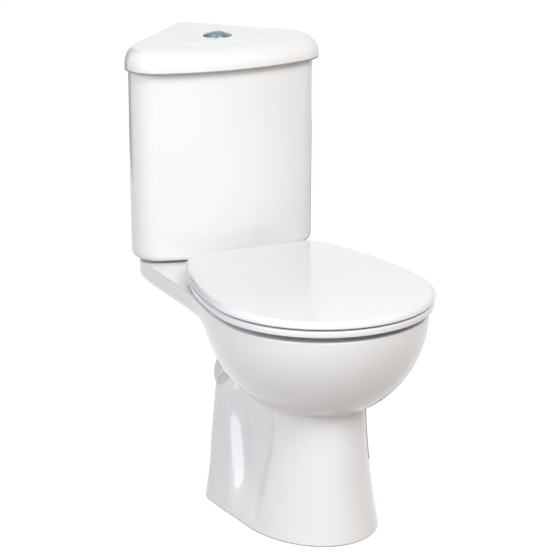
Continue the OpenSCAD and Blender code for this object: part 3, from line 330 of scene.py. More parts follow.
def turned(profile, x=0.0, y=0.0, z=0.0, n=64, closed=False, axis="z"):
    """Rows of [radius, height] turned about an axis: a solid, or a ring where they are closed."""
    t = np.linspace(0, 2 * np.pi, n, endpoint=False)
    r, h = np.asarray(profile, float).T
    u, v, w = np.outer(r, np.cos(t)), np.outer(r, np.sin(t)), np.repeat(h[:, None], n, 1)
    order = {"z": (u, v, w), "y": (v, w, u), "x": (w, u, v)}[axis]
    rings = np.stack(order, -1) + np.array([x, y, z], float)
    return hoop(rings[:, ::-1]) if closed else loft(rings)


def block(low, high):
    """A block between two corners, to add or cut."""
    (x0, y0, z0), (x1, y1, z1) = low, high
    base = np.array([[x0, y0], [x1, y0], [x1, y1], [x0, y1]], float)
    return loft(stacked([(base, z0), (base, z1)]))


def spun(form, x, y, degrees):
    """A form made about the origin, turned about the vertical and moved to a place."""
    points, faces = form
    c, s = math.cos(math.radians(degrees)), math.sin(math.radians(degrees))
    flat = points[:, :2] @ np.array([[c, s], [-s, c]]) + [x, y]
    return np.column_stack([flat, points[:, 2]]), faces


def span(side, near, far):
    """The lowest and highest x of what lies between two distances from the middle, on one side."""
    return sorted((near * side, far * side))


class Value:
    """A shader socket used in Python sums: each operator adds the Math node that does it."""

    def __init__(self, owner, socket):
        self.owner, self.socket = owner, socket

    def maths(self, operation, *terms):
        """Adds a Math node that does the operation on the terms."""
        return self.owner.node("ShaderNodeMath", dict(enumerate(terms)), operation=operation)

    def __add__(self, other):
        return self.maths("ADD", self, other)

    def __radd__(self, other):
        return self.maths("ADD", other, self)

    def __sub__(self, other):
        return self.maths("SUBTRACT", self, other)

    def __rsub__(self, other):
        return self.maths("SUBTRACT", other, self)

    def __mul__(self, other):
        return self.maths("MULTIPLY", self, other)

    def __rmul__(self, other):
        return self.maths("MULTIPLY", other, self)

    def clear(self, low, high):
        """0 below low, 1 above high and smooth between."""
        sockets = {0: self, 1: low, 2: high}
        return self.owner.node("ShaderNodeMapRange", sockets, interpolation_type="SMOOTHSTEP")


class Nodes:
    """The nodes of a material or of the world."""

    def __init__(self, owner):
        owner.use_nodes = True
        self.tree = owner.node_tree

    def node(self, kind, sockets, output=0, **settings):
        """Adds a node: its settings first, then the value or link of each socket."""
        made = self.tree.nodes.new(kind)
        for key, value in settings.items():
            setattr(made, key, value)
        for key, value in sockets.items():
            if isinstance(value, Value):
                self.tree.links.new(value.socket, made.inputs[key])
            else:
                made.inputs[key].default_value = value
        return Value(self, made.outputs[output]) if made.outputs else None


class Finish(Nodes):
    """One material: its Principled shader, and the nodes that vary it over the surface."""

    def __init__(self, name, **constants):
        self.material = bpy.data.materials.new(name)
        super().__init__(self.material)
        self.shader = self.tree.nodes["Principled BSDF"]
        for key, value in constants.items():
            title = key.replace("_", " ").title().replace("Ior", "IOR")
            self.shader.inputs[title].default_value = value
        self.place = self.node("ShaderNodeTexCoord", {}, output="Object")

    def feed(self, name, value):
        """Links a value to the Principled shader."""
        self.tree.links.new(value.socket, self.shader.inputs[name])

    def noise(self, size, detail=2.0, stretch=None):
        """Noise whose features are about size millimetres wide."""
        place = self.place
        if stretch:
            place = self.node("ShaderNodeMapping", {"Vector": place, "Scale": stretch})
        sockets = {"Vector": place, "Scale": 1000.0 / size, "Detail": detail}
        return self.node("ShaderNodeTexNoise", sockets)

    def height(self):
        """Height above the floor, in millimetres."""
        return self.node("ShaderNodeSeparateXYZ", {0: self.place}, output=2) * 1000.0

    def between(self, share, a, b):
        """Colour a where share is 0 and b where it is 1."""
        a, b = ((*tone, 1) if isinstance(tone, tuple) else tone for tone in (a, b))
        return self.node("ShaderNodeMix", {0: share, 6: a, 7: b}, output=2, data_type="RGBA")

    def bumps(self, depth, height, under=None):
        """Relief: a height of 1 stands depth millimetres proud."""
        sockets = {"Height": height, "Distance": depth / 1000.0, "Strength": 1.0}
        if under:
            sockets["Normal"] = under
        return self.node("ShaderNodeBump", sockets)


def china(name, foot=None):
    """Glazed vitreous china: slight drifts of tone, faint waves, and below a height bare clay,
    darkened further as painted shade for the shadow line along that edge.
    """
    f = Finish(name, ior=1.52, coat_roughness=0.04, coat_ior=1.5)
    drift = f.noise(160, 2.0)
    tone = f.between(drift.clear(0.3, 0.7), (0.845, 0.85, 0.855), (0.87, 0.868, 0.86))
    speck = f.noise(1.6, 1.0).clear(0.76, 0.82)
    tone = f.between(speck * 0.12, tone, (0.62, 0.6, 0.56))
    rough = 0.09 + f.noise(35, 3.0) * 0.05
    waves = f.bumps(0.25, f.noise(55, 1.0))
    peel = f.bumps(0.012, f.noise(3.2, 2.0), waves)
    if foot is not None:
        bare_and_shade = 1 - (f.height() + f.noise(9, 2.0) * 1.2).clear(foot + 0.5, foot + 1.1)
        # Bare clay, but darker than bare clay is: painted shade for the thin shadow line at the
        # edge
        tone = f.between(bare_and_shade, tone, (0.4, 0.37, 0.33))
        rough = rough * (1 - bare_and_shade) + bare_and_shade * 0.72
        f.feed("Coat Weight", (1 - bare_and_shade) * 0.35)
    else:
        f.shader.inputs["Coat Weight"].default_value = 0.35
    f.feed("Base Color", tone)
    f.feed("Roughness", rough)
    f.feed("Normal", peel)
    return f.material


def biscuit():
    """Bare fired clay with a thin overspray of glaze, in the hollow foot and under the shelf."""
    f = Finish("bare_china", ior=1.5)
    spray = f.noise(70, 4.0).clear(0.35, 0.65)
    f.feed("Base Color", f.between(spray, (0.74, 0.7, 0.63), (0.82, 0.8, 0.77)))
    f.feed("Roughness", 0.78 - spray * 0.3)
    grain = f.noise(2.0, 4.0)
    f.feed("Normal", f.bumps(0.12, grain))
    return f.material


# The pan's bottom 2 mm are bare clay, painted dark as a shadow line along the floor
glaze, bare_china = china("pan_glaze", 2.0), biscuit()

RIM_LIP = RIM - 22
SUMP = 80.0
# The opening inside the rim: its front and back, and the share of its length in front
MOUTH_F = 45 - BOWL_FRONT
MOUTH_B = MOUTH_F + 309
MOUTH_SHARE = 0.44
# The waterway's radius outside and inside, and the inner radius of the outlet's end
TRAP_OUT, TRAP_IN, OUTLET_IN = 45, 36, 40
# Inside of the bowl: [height, half width, front, back], measured from its widest line
BOWL_IN = [
    [SUMP, 24, 54, 106],
    [SUMP + 15, 36, 39, 112],
    [mix(SUMP, RIM_LIP, 0.17), 45, 24, 116],
    [mix(SUMP, RIM_LIP, 0.31), 54, 0, 118],
    [mix(SUMP, RIM_LIP, 0.43), 55, -26, 119],
    [mix(SUMP, RIM_LIP, 0.51), 57, -56, 121],
    [mix(SUMP, RIM_LIP, 0.56), 85, MOUTH_F + 53, 125],
    [mix(SUMP, RIM_LIP, 0.62), 116, MOUTH_F + 30, 134],
    [mix(SUMP, RIM_LIP, 0.70), 134, MOUTH_F + 8, 148],
    [mix(SUMP, RIM_LIP, 0.83), 147, MOUTH_F - 15, 168],
    [RIM_LIP - 18, 146, MOUTH_F - 21, MOUTH_B + 20],
]


def ovals(rows, n=144):
    """Rings of half ellipses: [height, half width, front, back, share of length in front]."""
    z, a, front, back, share = (v[:, None] for v in np.asarray(rows, float).T)
    t = np.linspace(0, 2 * np.pi, n, endpoint=False)[None, :]
    middle = mix(front, back, share)
    length = np.where(np.cos(t) > 0, middle - front, back - middle)
    return np.stack([a * np.sin(t), BOWL_Y + middle - length * np.cos(t), z + 0 * t], -1)


def bowl_rows(z, grow=0.0, sink=0.0):
    """Rows of the bowl's inside at heights z, grown all round and lowered."""
    a, front, back = curve(BOWL_IN, z).T
    share = np.full(len(z), MOUTH_SHARE)
    return np.column_stack([z - sink, a + grow, front - grow, back + grow, share])


def mouth_row(grow, z):
    """The opening inside the rim, grown all round."""
    return [z, 120 + grow, MOUTH_F - grow, MOUTH_B + grow, MOUTH_SHARE]


def bowl_inside():
    """The basin, the undercut behind the flushing rim, the rim's lip and its rounded edge."""
    a, soft = np.radians(np.linspace(0, 90, 6)), 6
    wall = np.linspace(SUMP + 9, RIM_LIP - 18, 44)
    basin = bowl_rows(np.concatenate([SUMP + soft * (1 - np.cos(a)), wall]))
    inset = np.concatenate([soft - soft * np.sin(a), np.zeros(len(wall))])
    basin[:, 1:4] += np.outer(inset, [-1, 1, -1])
    shelf = bowl_rows(np.array([RIM_LIP - 6.0]), -3)[0]
    keys = [np.concatenate([[k], row]) for k, row in enumerate(
        [basin[-2], basin[-1], shelf, mouth_row(2, RIM_LIP), mouth_row(0, RIM_LIP + 3.5)])]
    under = curve(keys, np.linspace(1, 4, 19))[1:]
    edge = np.radians(np.linspace(0, 90, 8))
    lip = [mouth_row(soft - soft * math.cos(a), RIM - soft + soft * math.sin(a)) for a in edge]
    return ovals(np.vstack([basin, under, lip, [mouth_row(6.5, RIM + 1)]]))


def bowl_shell():
    """The basin's wall as it stands in the hollow foot."""
    z = np.linspace(SUMP + 15, CREASE - 20, 12)
    return ovals(np.vstack([bowl_rows(np.array([SUMP]), 3, 11), bowl_rows(np.array([SUMP]), 10, 4),
                            bowl_rows(z, 11)]))


def trap(r, n=40):
    """The waterway: a pipe of radius r that climbs from the sump, turns over the weir and falls."""
    bend, top, low, steep = 42.0, 236.0, 114.0, math.radians(80)
    in_y = BOWL_Y + 119
    up, over, down = (np.radians(v) for v in (
        np.arange(0, 81, 8), np.arange(80, -61, -7), np.arange(-60, 1, 7.5)))
    weir_y = in_y + 2 * bend * math.sin(steep) + (
        top - low - 2 * bend * (1 - math.cos(steep))) / math.tan(steep)
    path = np.array([
        [in_y - 45, low, 0],
        *[[in_y + bend * math.sin(a), low + bend * (1 - math.cos(a)), a] for a in up],
        *[[weir_y - bend * math.sin(a), top - bend * (1 - math.cos(a)), a] for a in over],
        *[[FALL_Y + bend * math.sin(a), OUTLET_Z + bend * (1 - math.cos(a)), a] for a in down],
        [FALL_Y + 8, OUTLET_Z, 0]])
    y, z, a = (v[:, None] for v in path.T)
    t = np.linspace(0, 2 * np.pi, n, endpoint=False)[None, :]
    u, v = r * np.cos(t), r * np.sin(t)
    return np.stack([u + 0 * y, y + v * np.sin(a), z - v * np.cos(a)], -1)


def foot_hollow():
    """The hollow of the foot, a wall's thickness inside: an arch, straight sides and a back."""
    arch_y, back = BOWL_Y + ARCH, FOOT_Y - FOOT_WALL
    t = np.radians(np.linspace(0, 75, 16))
    rings = []
    for z, cut in [(-1, 0), (10, 0), (30, 0), (50, 0), (75, 0), (100, 0), (130, 0), (156, 0),
                   (165, 2.5), (171, 8)]:
        w = foot_half(z) - recess(z) - FOOT_WALL - cut
        f = foot_front(z) - FOOT_WALL - cut
        arch = np.column_stack([w * np.sin(t), arch_y - f * np.cos(t)])
        walls = [[w, arch_y], [w, back - 12], [w - 12, back], [0, back]]
        rings.append((both_halves(np.vstack([arch, walls])), z))
    return stacked(rings)


def tool(form, finish):
    """A solid that shapes another one, leaves its finish there and is then gone."""
    return solid("tool", form, finish)


def drum(x, y, r, low, high, finish, n=64):
    """A round tool about an upright axis."""
    return tool(turned([[r, low], [r, high]], x, y, n=n), finish)


def screw_lug(side):
    """The block of china round a floor screw's hole, which the hollow leaves standing."""
    x0, x1 = span(side, 74, 114)
    return tool(block((x0, FOOT_Y - 62, -2), (x1, FOOT_Y - 30, 14)), bare_china)


def arc(x, y, r, a, b, n, whole=False):
    """Points on a circle from angle a to angle b in degrees, without the last unless whole."""
    t = np.radians(np.linspace(a, b, n, endpoint=whole))
    return np.column_stack([x + r * np.cos(t), y + r * np.sin(t)])


def pipe_notch(side):
    """The notch in the shelf's edge for the fill valve's pipe: a U turned to face the wall."""
    bottom = arc(0, 0, 22, 180, 360, 33, True)
    plan = np.vstack([bottom, [[22, 80], [-22, 80]]])
    x, y = FILL_VALVE
    return tool(spun(loft(stacked([(plan, 310), (plan, 391)])), x * side, y, -45 * side), glaze)


def outlet(rows, y=0.0, closed=False):
    """Rows of [radius, distance] turned about the outlet's axis."""
    return tool(turned(rows, 0, FALL_Y + y, OUTLET_Z, n=96, closed=closed, axis="y"), glaze)


def make_pan():
    """Joins and cuts the pan's forms as the mould does, then adds the outlet's spigot and holes."""
    pan = solid("glazed_pan", loft(pan_rings()), glaze)
    hollow = solid("hollow", loft(foot_hollow()), bare_china)
    open_back = block((-78, FOOT_Y - 70, -1), (78, FOOT_Y + 30, 118))
    shaped(hollow, [
        ("add", tool(open_back, bare_china)), ("cut", tool(loft(bowl_shell()), bare_china)),
        ("cut", tool(loft(trap(TRAP_OUT)), bare_china)),
        ("cut", screw_lug(1)), ("cut", screw_lug(-1))])
    channel = block((-30, BOWL_Y + MOUTH_B + 2, RIM_LIP - 24), (30, VALVE_Y, RIM_LIP - 4))
    spigot = [[38, -2], [OUTLET_IN, -2], [OUTLET_IN, 40.5], [41.5, 42], [49.5, 42], [51, 40.5],
              [51, 4.6], [51.6, 4], [54, 4], [55, 3], [55, -3.4], [54.4, -4], [38, -4]]
    steps = [
        ("add", tool(loft(trap(TRAP_OUT)), bare_china)), ("cut", hollow),
        ("cut", tool(loft(bowl_inside()), glaze)), ("cut", tool(loft(trap(TRAP_IN)), glaze)),
        ("cut", tool(channel, glaze)), ("cut", pipe_notch(1)), ("cut", pipe_notch(-1)),
        ("add", outlet(spigot, closed=True)),
        ("cut", outlet([[OUTLET_IN, 0], [OUTLET_IN, 30]], -2)),
        ("cut", drum(0, VALVE_Y, 40, RIM - 26, RIM + 1, glaze, 72)),
        ("cut", drum(0, VALVE_Y, 33, RIM_LIP - 27, RIM + 12, glaze))]
    # The pockets for nuts under the shelf, and the holes: radius, lowest and highest point
    for (x, y), r, low, high, face in [
            (CISTERN_BOLTS, 17, 300, 370, bare_china), (CISTERN_BOLTS, 6.5, 330, 430, glaze),
            (HINGE_BOLTS, 17, 290, 370, bare_china), (HINGE_BOLTS, 7, 330, 430, glaze),
            (FLOOR_SCREWS, 4.5, -1, 15, glaze)]:
        for side in (1, -1):
            steps.append(("cut", drum(side * x, y, r, low, high, face, 48)))
    return shaped(pan, steps, 50)


pan = make_pan()
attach(pan, "fixed")
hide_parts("pan")

# ---------------------------------------------------------------------------
# Cistern. A tank of the same china whose plan fits the room corner: a bowed
# front, two round shoulders and two straight walls. It stands on the shelf over a
# rubber seal, and its inside is left with only a thin overspray of glaze.
# ---------------------------------------------------------------------------

TANK_Z = RIM + 5
TANK_H = 342.0
TANK_TOP = TANK_Z + TANK_H
TANK_FRONT = 127.0
TAPER = 2.0
# The front is an arc of this half chord and depth
HALF_CHORD, BOW_DEPTH = 212, 56
# Below and above the tank's bottom, for what is cut through it
THROUGH = (TANK_Z - 1, TANK_Z + 12)


def corner_plan(front, walls, fillet, corner):
    """The tank's plan, drawn in at the front and walls: a bowed front, two shoulders, two walls.

    A fillet touches the bow and the wall, which runs at 45 degrees to a round in the corner.
    """
    fillet, corner = max(fillet, 2.0), max(corner, 2.0)
    bow = (HALF_CHORD**2 + BOW_DEPTH**2) / (2 * BOW_DEPTH)
    bow_y = TANK_FRONT + bow
    tip = CORNER_Y - ROOT2 * walls
    k = tip - fillet * ROOT2 - bow_y
    x = (k + math.sqrt(2 * (bow - front - fillet) ** 2 - k * k)) / 2
    y = k - x
    turn = math.degrees(math.atan2(y, x))
    shoulder = arc(x, y + bow_y, fillet, turn, 45, 18)
    end = np.array([x, y + bow_y]) + fillet / ROOT2
    start = np.array([corner / ROOT2, tip - corner / ROOT2])
    wall = end + (start - end) * np.array([0, 0.01, 0.04, 0.3, 0.7, 0.96, 0.99])[:, None]
    turned_in = arc(0, tip - corner * ROOT2, corner, 45, 90, 6)
    return both_halves(np.vstack([
        arc(0, bow_y, bow - front, -90, turn, 48), shoulder, wall, turned_in,
        [[0, tip - corner * (ROOT2 - 1)]]]))


def tank_rings(d, h):
    """Rings of the tank's plan at heights h above its underside, drawn in by d and the taper."""
    d = d + TAPER * (1 - np.minimum(h / TANK_H, 1))
    plans = [corner_plan(inset, inset, 50 - inset, 12 - min(inset, 8)) for inset in d]
    return stacked(zip(plans, TANK_Z + h))


def tank_outside():
    """The outside from its rounded bottom edge, widening evenly to the rounded top edge."""
    a, large, small = np.radians(np.linspace(0, 90, 13)), 14, 2
    top, straight = a[2::2], [24, 60, 150, 240, 310, 334, TANK_H - small]
    h = np.concatenate([large - large * np.cos(a), straight, TANK_H - small + small * np.sin(top)])
    d = np.concatenate([large - large * np.sin(a), np.zeros(len(straight)),
                        small - small * np.cos(top)])
    return tank_rings(d, h)


def tank_inside():
    """The inside: a floor with a 12 mm round, walls 9 mm thick and a rounded inner edge on top."""
    a, wall, large, small = np.radians(np.linspace(0, 90, 9)), 9, 12, 1.6
    top, straight = a[2::2], [60, 200, 320, TANK_H - small]
    h = np.concatenate([22 - large * np.cos(a), straight,
                        TANK_H - small + small * np.sin(top), [TANK_H + 1]])
    d = np.concatenate([wall + large - large * np.sin(a), np.full(len(straight), wall),
                        wall - small + small * np.cos(top), [wall - small]])
    return tank_rings(d, h)


tank_glaze = china("cistern_glaze")
cistern = solid("glazed_cistern", loft(tank_outside()), tank_glaze)
holes = [("cut", tool(loft(tank_inside()), bare_china)),
         ("cut", drum(0, VALVE_Y, 31, *THROUGH, bare_china)),
         ("cut", drum(-FILL_VALVE[0], FILL_VALVE[1], 12, *THROUGH, bare_china, 48))]
for side in (1, -1):
    x, y = CISTERN_BOLTS
    holes.append(("cut", drum(x * side, y, 6, *THROUGH, bare_china, 32)))
    wall_screw = turned([[3.5, -30], [3.5, 20]], z=TANK_TOP - 47, n=32, axis="x")
    holes.append(("cut", tool(spun(wall_screw, 100 * side, 295, 90 - 45 * side), bare_china)))
shaped(cistern, holes)
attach(cistern, "fixed")
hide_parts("cistern")

# ---------------------------------------------------------------------------
# Cistern lid. A deep china lid with the tank's plan and a full rolled shoulder,
# hollow underneath. It lies loose on the tank's edge, where a lip inside the
# edge keeps it in place, and it carries the push button.
# ---------------------------------------------------------------------------

LID_Z = TANK_TOP + 2.5
LID_TOP = LID_Z + 45
PAD_Z = 783.25


def lid_plan(front, walls, fillet):
    """The lid's plan drawn in at the front, at the walls and in its fillets."""
    return corner_plan(front - 15, walls - 3.5, 58 - fillet, 12)


def lid_outside():
    """A small round below, a straight side, a quarter ellipse and a crown along a parabola."""
    a, small = np.radians(np.linspace(0, 90, 9)), 1.8
    rows = [(lid_plan(e, e, e), z)
            for e, z in zip(small - small * np.sin(a), small - small * np.cos(a))]
    side, shoulder_in, shoulder_up, crown = 9, 47, 31, 5
    rows.append((lid_plan(0, 0, 0), side - 0.1))
    for t in np.radians(np.linspace(0, 90, 25)):
        e = shoulder_in * (1 - math.cos(t))
        plan = lid_plan(e, 0.3 * e, min(0.6 * e, 50))
        rows.append((plan, side + shoulder_up * math.sin(t)))
    edge, middle = rows[-1][0], np.array([0, CORNER_Y - 208])
    for s in np.concatenate([np.linspace(0.97, 0.1, 18), [0.05, 0.02]]):
        rows.append((middle + (edge - middle) * s, side + shoulder_up + crown * (1 - s * s)))
    return stacked([(plan, LID_Z + z) for plan, z in rows])


def lid_part(finish, *rows):
    """A tool of the lid's plan from rows of [front, walls, fillet, height]."""
    return tool(loft(stacked([(lid_plan(*row[:3]), LID_Z + row[3]) for row in rows])), finish)


# The lid's bare bottom edge, 2.9 mm high, is painted dark as the shadow line under the lid
lid_glaze = china("lid_glaze", LID_Z + 2.9)
lid = solid("glazed_lid", loft(lid_outside()), lid_glaze)
seat_on_tank = lid_part(lid_glaze, (21.4, 9.9, 14.4, -2.5), (21, 9.5, 14, -2.1), (21, 9.5, 14, 6))
lip = lid_part(lid_glaze, (26.5, 15, 19.5, -11.5), (25.5, 14, 18.5, -10.5), (25.5, 14, 18.5, 6))
hollow = lid_part(bare_china, (29, 17.5, 22, -12.5), (29, 17.5, 22, 9), (30, 17.8, 23, 14),
                  (33, 18.6, 26, 20), (37, 19.8, 30, 26), (43, 21.5, 34, 30))
shaped(lid, [("add", seat_on_tank), ("add", lip), ("cut", hollow),
             ("cut", drum(0, VALVE_Y, 21.9, LID_Z, LID_TOP + 2, lid_glaze)),
             ("cut", drum(0, VALVE_Y, 26.5, PAD_Z, LID_TOP + 5, lid_glaze))])
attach(lid, "lid")
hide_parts("cistern_lid")

# ---------------------------------------------------------------------------
# Push button. A chrome-plated collar clamped in the lid, with a domed button in
# two parts: the larger for a full flush and the smaller for half. The plating
# lies over moulded plastic, so the shine has the soft waves of the moulding. Its
# dark teal tone is painted reflection of a dim room, far darker than chrome is.
# ---------------------------------------------------------------------------

BUTTON_TOP = 791.5


def chrome(name, waves=0.06, tones=((0.74, 0.77, 0.79), (0.66, 0.68, 0.69))):
    """Bright plating: a little blue, with faint waves, fine wiping marks and a film of dust."""
    f = Finish(name, metallic=1.0, ior=2.2)
    film = f.noise(18, 4.0).clear(0.42, 0.75)
    f.feed("Base Color", f.between(film, *tones))
    wiping = f.noise(1.2, 2.0, (1, 0.2, 0.2))
    f.feed("Roughness", 0.035 + film * 0.07 + wiping * 0.03)
    f.feed("Normal", f.bumps(0.004, wiping, f.bumps(waves, f.noise(9, 1.0))))
    return f.material


def button_rows():
    """Rows of [radius, height] of the whole button: a skirt, a small round and a sphere's cap."""
    r, cap = 19.6, 4.3
    big = (r**2 + cap**2) / (2 * cap)
    a = np.linspace(math.asin(18.9 / big), 0.004, 16)
    dome = np.column_stack([big * np.sin(a), BUTTON_TOP - big + big * np.cos(a)])
    return np.vstack([[[r, 774.25], [r, 786.5], [19.5, 787.0], [19.3, 787.3]], dome])


# Dark teal tones: a painted reflection of a dim room, far darker than bright chrome
painted_reflection_chrome = chrome("button_chrome_painted_reflection", 0.2, ((0.24, 0.31, 0.35), (0.16, 0.21, 0.24)))
collar_rows = [
    [21.5, 753.25], [21.5, PAD_Z], [25.2, PAD_Z], [25.5, 783.6], [25.45, 784.3], [25.1, 785.0],
    [24.4, 785.7], [23.4, 786.25], [22.2, 786.55], [21.0, 786.6], [20.4, 786.4], [20.0, 785.9],
    [20.0, 756.25]]
collar = solid("button_collar_ring", turned(collar_rows, 0, VALVE_Y, n=96), painted_reflection_chrome)
shaped(collar, [("cut", drum(x, VALVE_Y, 3.6, 752, 758, painted_reflection_chrome, 32)) for x in (-9, 12.5)])
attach(collar, "lid")
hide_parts("button_collar")
for name, body, low, high in (("full_flush_button", "full_flush", 4.6, 30),
                              ("half_flush_button", "half_flush", -30, 5.4)):
    key = solid(body + "_dome", turned(button_rows(), 0, VALVE_Y, n=128), painted_reflection_chrome)
    other_key = block((low, VALVE_Y - 30, 770), (high, VALVE_Y + 30, 800))
    shaped(key, [("cut", drum(0, VALVE_Y, 17.1, 773, 779.25, painted_reflection_chrome)),
                 ("cut", tool(other_key, painted_reflection_chrome))])
    soft = key.modifiers.new("soft_edges", "BEVEL")
    soft.width, soft.segments = 0.0003, 2
    soft.limit_method, soft.angle_limit = "ANGLE", math.radians(35)
    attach(key, body)
    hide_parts(name)

# ---------------------------------------------------------------------------
# Seat ring. Compression moulded in white thermoset plastic: a solid ring with
# rounded edges and an egg-shaped opening, notched at the back for the hinges. It
# rests on the rim on four rubber buffers.
# ---------------------------------------------------------------------------

SEAT_Z = RIM + 8
SEAT_BACK = 79.0
SEAT_FRONT = -395.0
SEAT_HALF = 191
SIDE_RADIUS = 620
RING_H = 14
PIN_HOLE = 3.1
# The ring's opening: half width, and lengths in front of and behind its middle
HOLE_HALF, HOLE_FRONT, HOLE_REAR = 112, 129.024, 158.976
HINGE_Y = SEAT_BACK - 11
HINGE_Z = RIM + 16


def moulding(name, tone=(0.86, 0.86, 0.868)):
    """Glossy thermoset: an even white with faint flow marks, a hard shine and a fine grain."""
    f = Finish(name, ior=1.56, coat_weight=0.25, coat_roughness=0.03)
    flow = f.noise(120, 3.0, (1, 0.35, 1)).clear(0.3, 0.7)
    f.feed("Base Color", f.between(flow, tone, tuple(v * 0.985 for v in tone)))
    scuff = f.noise(22, 5.0).clear(0.55, 0.8)
    f.feed("Roughness", 0.13 + scuff * 0.07)
    f.feed("Normal", f.bumps(0.008, f.noise(1.7, 2.0), f.bumps(0.12, f.noise(60, 1.0))))
    return f.material


def seat_plan(d):
    """The seat's plan drawn in by d: half an ellipse, long side arcs, corners, a straight back."""
    side_r, corner = SIDE_RADIUS - d, max(40 - 0.8 * d, 3)
    back, xc = SEAT_BACK - d, SEAT_HALF - SIDE_RADIUS
    y = back - corner
    x = xc + math.sqrt((side_r - corner) ** 2 - (y - BOWL_Y) ** 2)
    turn = math.degrees(math.atan2(y - BOWL_Y, x - xc))
    last = np.column_stack([x * np.array([1, 0.985, 0.93, 0.6, 0.3, 0.0]), np.full(6, back)])
    return both_halves(np.vstack([
        arc(0, BOWL_Y, SEAT_HALF - d, -90, 0, 52), arc(xc, BOWL_Y, side_r, 0, turn, 20),
        arc(x, y, corner, turn, 90, 18), last]))


def ring_sections():
    """Bands round the ring: a straight outer edge with small rounds, top, inner edge, underside.

    The back is drawn in a little more, to clear the open cover.
    """
    b = np.radians(np.linspace(0, 90, 7))
    edge_in, edge_up, small, large = 1.5, 3, 2.2, 3.2
    d = edge_in + np.concatenate([small - small * np.sin(b), large - large * np.cos(b)])
    z = np.concatenate([edge_up + small - small * np.cos(b), RING_H - large + large * np.sin(b)])
    back = [np.inf, SEAT_BACK - 2.6]
    outer = [(np.minimum(seat_plan(inset), back), up) for inset, up in zip(d, z)]
    plan = seat_plan(edge_in)
    hole_y = SEAT_FRONT + 62 + HOLE_FRONT
    a = np.arctan2(plan[:, 0], hole_y - plan[:, 1])
    s, c = np.sin(a), -np.cos(a)
    inner = []
    rows = [[0, 8, 13], [1, 2.5, 10.6], [2, 0, 5.9], [3, 1.5, 2.0], [4, 5, 0]]
    for d, z in curve(rows, np.linspace(0, 4, 17)):
        r = egg(s, c, 0.0, HOLE_HALF + d, HOLE_FRONT + d, HOLE_REAR + d)
        inner.append((np.column_stack([r * s, hole_y + r * c]), max(z, 0)))
    (far, top), (near, low) = outer[-1], inner[0]
    across = [(mix(far, near, t), mix(top, low, t * t)) for t in (0.08, 0.3, 0.6, 0.88)]
    first, last = outer[0][0], inner[-1][0]
    under = [(mix(last, first, t), z) for t, z in ((0.3, 0), (0.7, 0), (0.88, 0.5))]
    return stacked([(p, SEAT_Z + z) for p, z in outer + across + inner + under])


def on_hinge(side, near, far, finish, rows=((PIN_HOLE, 0), (PIN_HOLE, 0)), n=32):
    """A tool turned about the hinges' axis: by default the hole for a pin.

    Each row is its radius and how far it lies inside that end.
    """
    x0, x1 = span(side, near, far)
    k = len(rows) // 2
    profile = [[r, x0 + d] for r, d in rows[:k]] + [[r, x1 - d] for r, d in rows[k:]]
    return tool(turned(profile, 0, HINGE_Y, HINGE_Z, n=n, axis="x"), finish)


ring_plastic = moulding("seat_ring_plastic")
seat_ring = solid("moulded_seat_ring", hoop(ring_sections()), ring_plastic)
notches = []
for side in (1, -1):
    x0, x1 = span(side, 70, 92)
    low, high = (x0, HINGE_Y - 13, SEAT_Z - 1), (x1, HINGE_Y + 47, SEAT_Z + RING_H + 1)
    notches += [("cut", tool(block(low, high), ring_plastic)),
                ("cut", on_hinge(side, 62, 100, ring_plastic))]
shaped(seat_ring, notches)
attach(seat_ring, "seat")
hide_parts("seat_ring")

# ---------------------------------------------------------------------------
# Seat cover. A shallow moulded lid of the same plastic with a rounded edge and a
# slight dome, hollow underneath. Two knuckles at the back turn on the hinge pins,
# and it lies on the ring on two small buffers.
# ---------------------------------------------------------------------------

COVER_Z = SEAT_Z + RING_H + 3.5


def domed(plan, z, rise=9.0):
    """Rings from a plan's edge to its middle, rising along a power curve."""
    middle = np.array([0, (SEAT_FRONT + SEAT_BACK) / 2 - 10])
    shares = np.concatenate([np.linspace(0.985, 0.1, 22), [0.04]])
    return [(middle + (plan - middle) * s, z + rise * (1 - s**2.2)) for s in shares]


def cover_outside():
    """A small round under the edge, a straight side, a quarter ellipse over it and the dome."""
    a, b = np.radians(np.linspace(0, 90, 7)), np.radians(np.linspace(0, 90, 15)[1:])
    small, large = 2, 10
    d = np.concatenate([small - small * np.sin(a), large - large * np.cos(b)])
    up = np.concatenate([small - small * np.cos(a), small + large * np.sin(b)])
    rows = [(seat_plan(inset), z) for inset, z in zip(d, up)]
    return stacked([(p, COVER_Z + z) for p, z in rows + domed(seat_plan(large), small + large)])


def cover_inside():
    """The hollow: a wall 9 mm thick, a round in the corner and the same dome."""
    a, wall, soft, start = np.radians(np.linspace(0, 90, 7)), 9, 4, 3.5
    rows = [(seat_plan(wall), -1.0)]
    for d, z in zip(wall + soft - soft * np.cos(a), start + soft * np.sin(a)):
        rows.append((seat_plan(d), z))
    rows += domed(seat_plan(wall + soft), start + soft)
    return stacked([(p, COVER_Z + z) for p, z in rows])


cover_plastic = moulding("seat_cover_plastic", (0.87, 0.87, 0.878))
seat_cover = solid("moulded_seat_cover", loft(cover_outside()), cover_plastic)
steps = [("cut", tool(loft(cover_inside()), cover_plastic))]
knuckle = ((5.6, 0), (6, 0.4), (6, 0.4), (5.6, 0))
inner_end, outer_end, half_arm = 83.2, 89.8, 5.9
for side in (1, -1):
    x0, x1 = span(side, inner_end, outer_end)
    arm = block((x0, HINGE_Y - half_arm, HINGE_Z), (x1, HINGE_Y + half_arm, COVER_Z + 6))
    steps += [("add", tool(arm, cover_plastic)),
              ("add", on_hinge(side, inner_end, outer_end, cover_plastic, knuckle, 48))]
steps += [("cut", on_hinge(side, 82, 91, cover_plastic)) for side in (1, -1)]
shaped(seat_cover, steps)
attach(seat_cover, "cover")
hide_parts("seat_cover")

# ---------------------------------------------------------------------------
# Fittings. Plated hinge posts, zinc-plated bolts, rubber buffers and seals, and
# the moulded flushing gear in the tank. Their packed forms are right as they are,
# and each takes the finish of what it is made of.
# ---------------------------------------------------------------------------


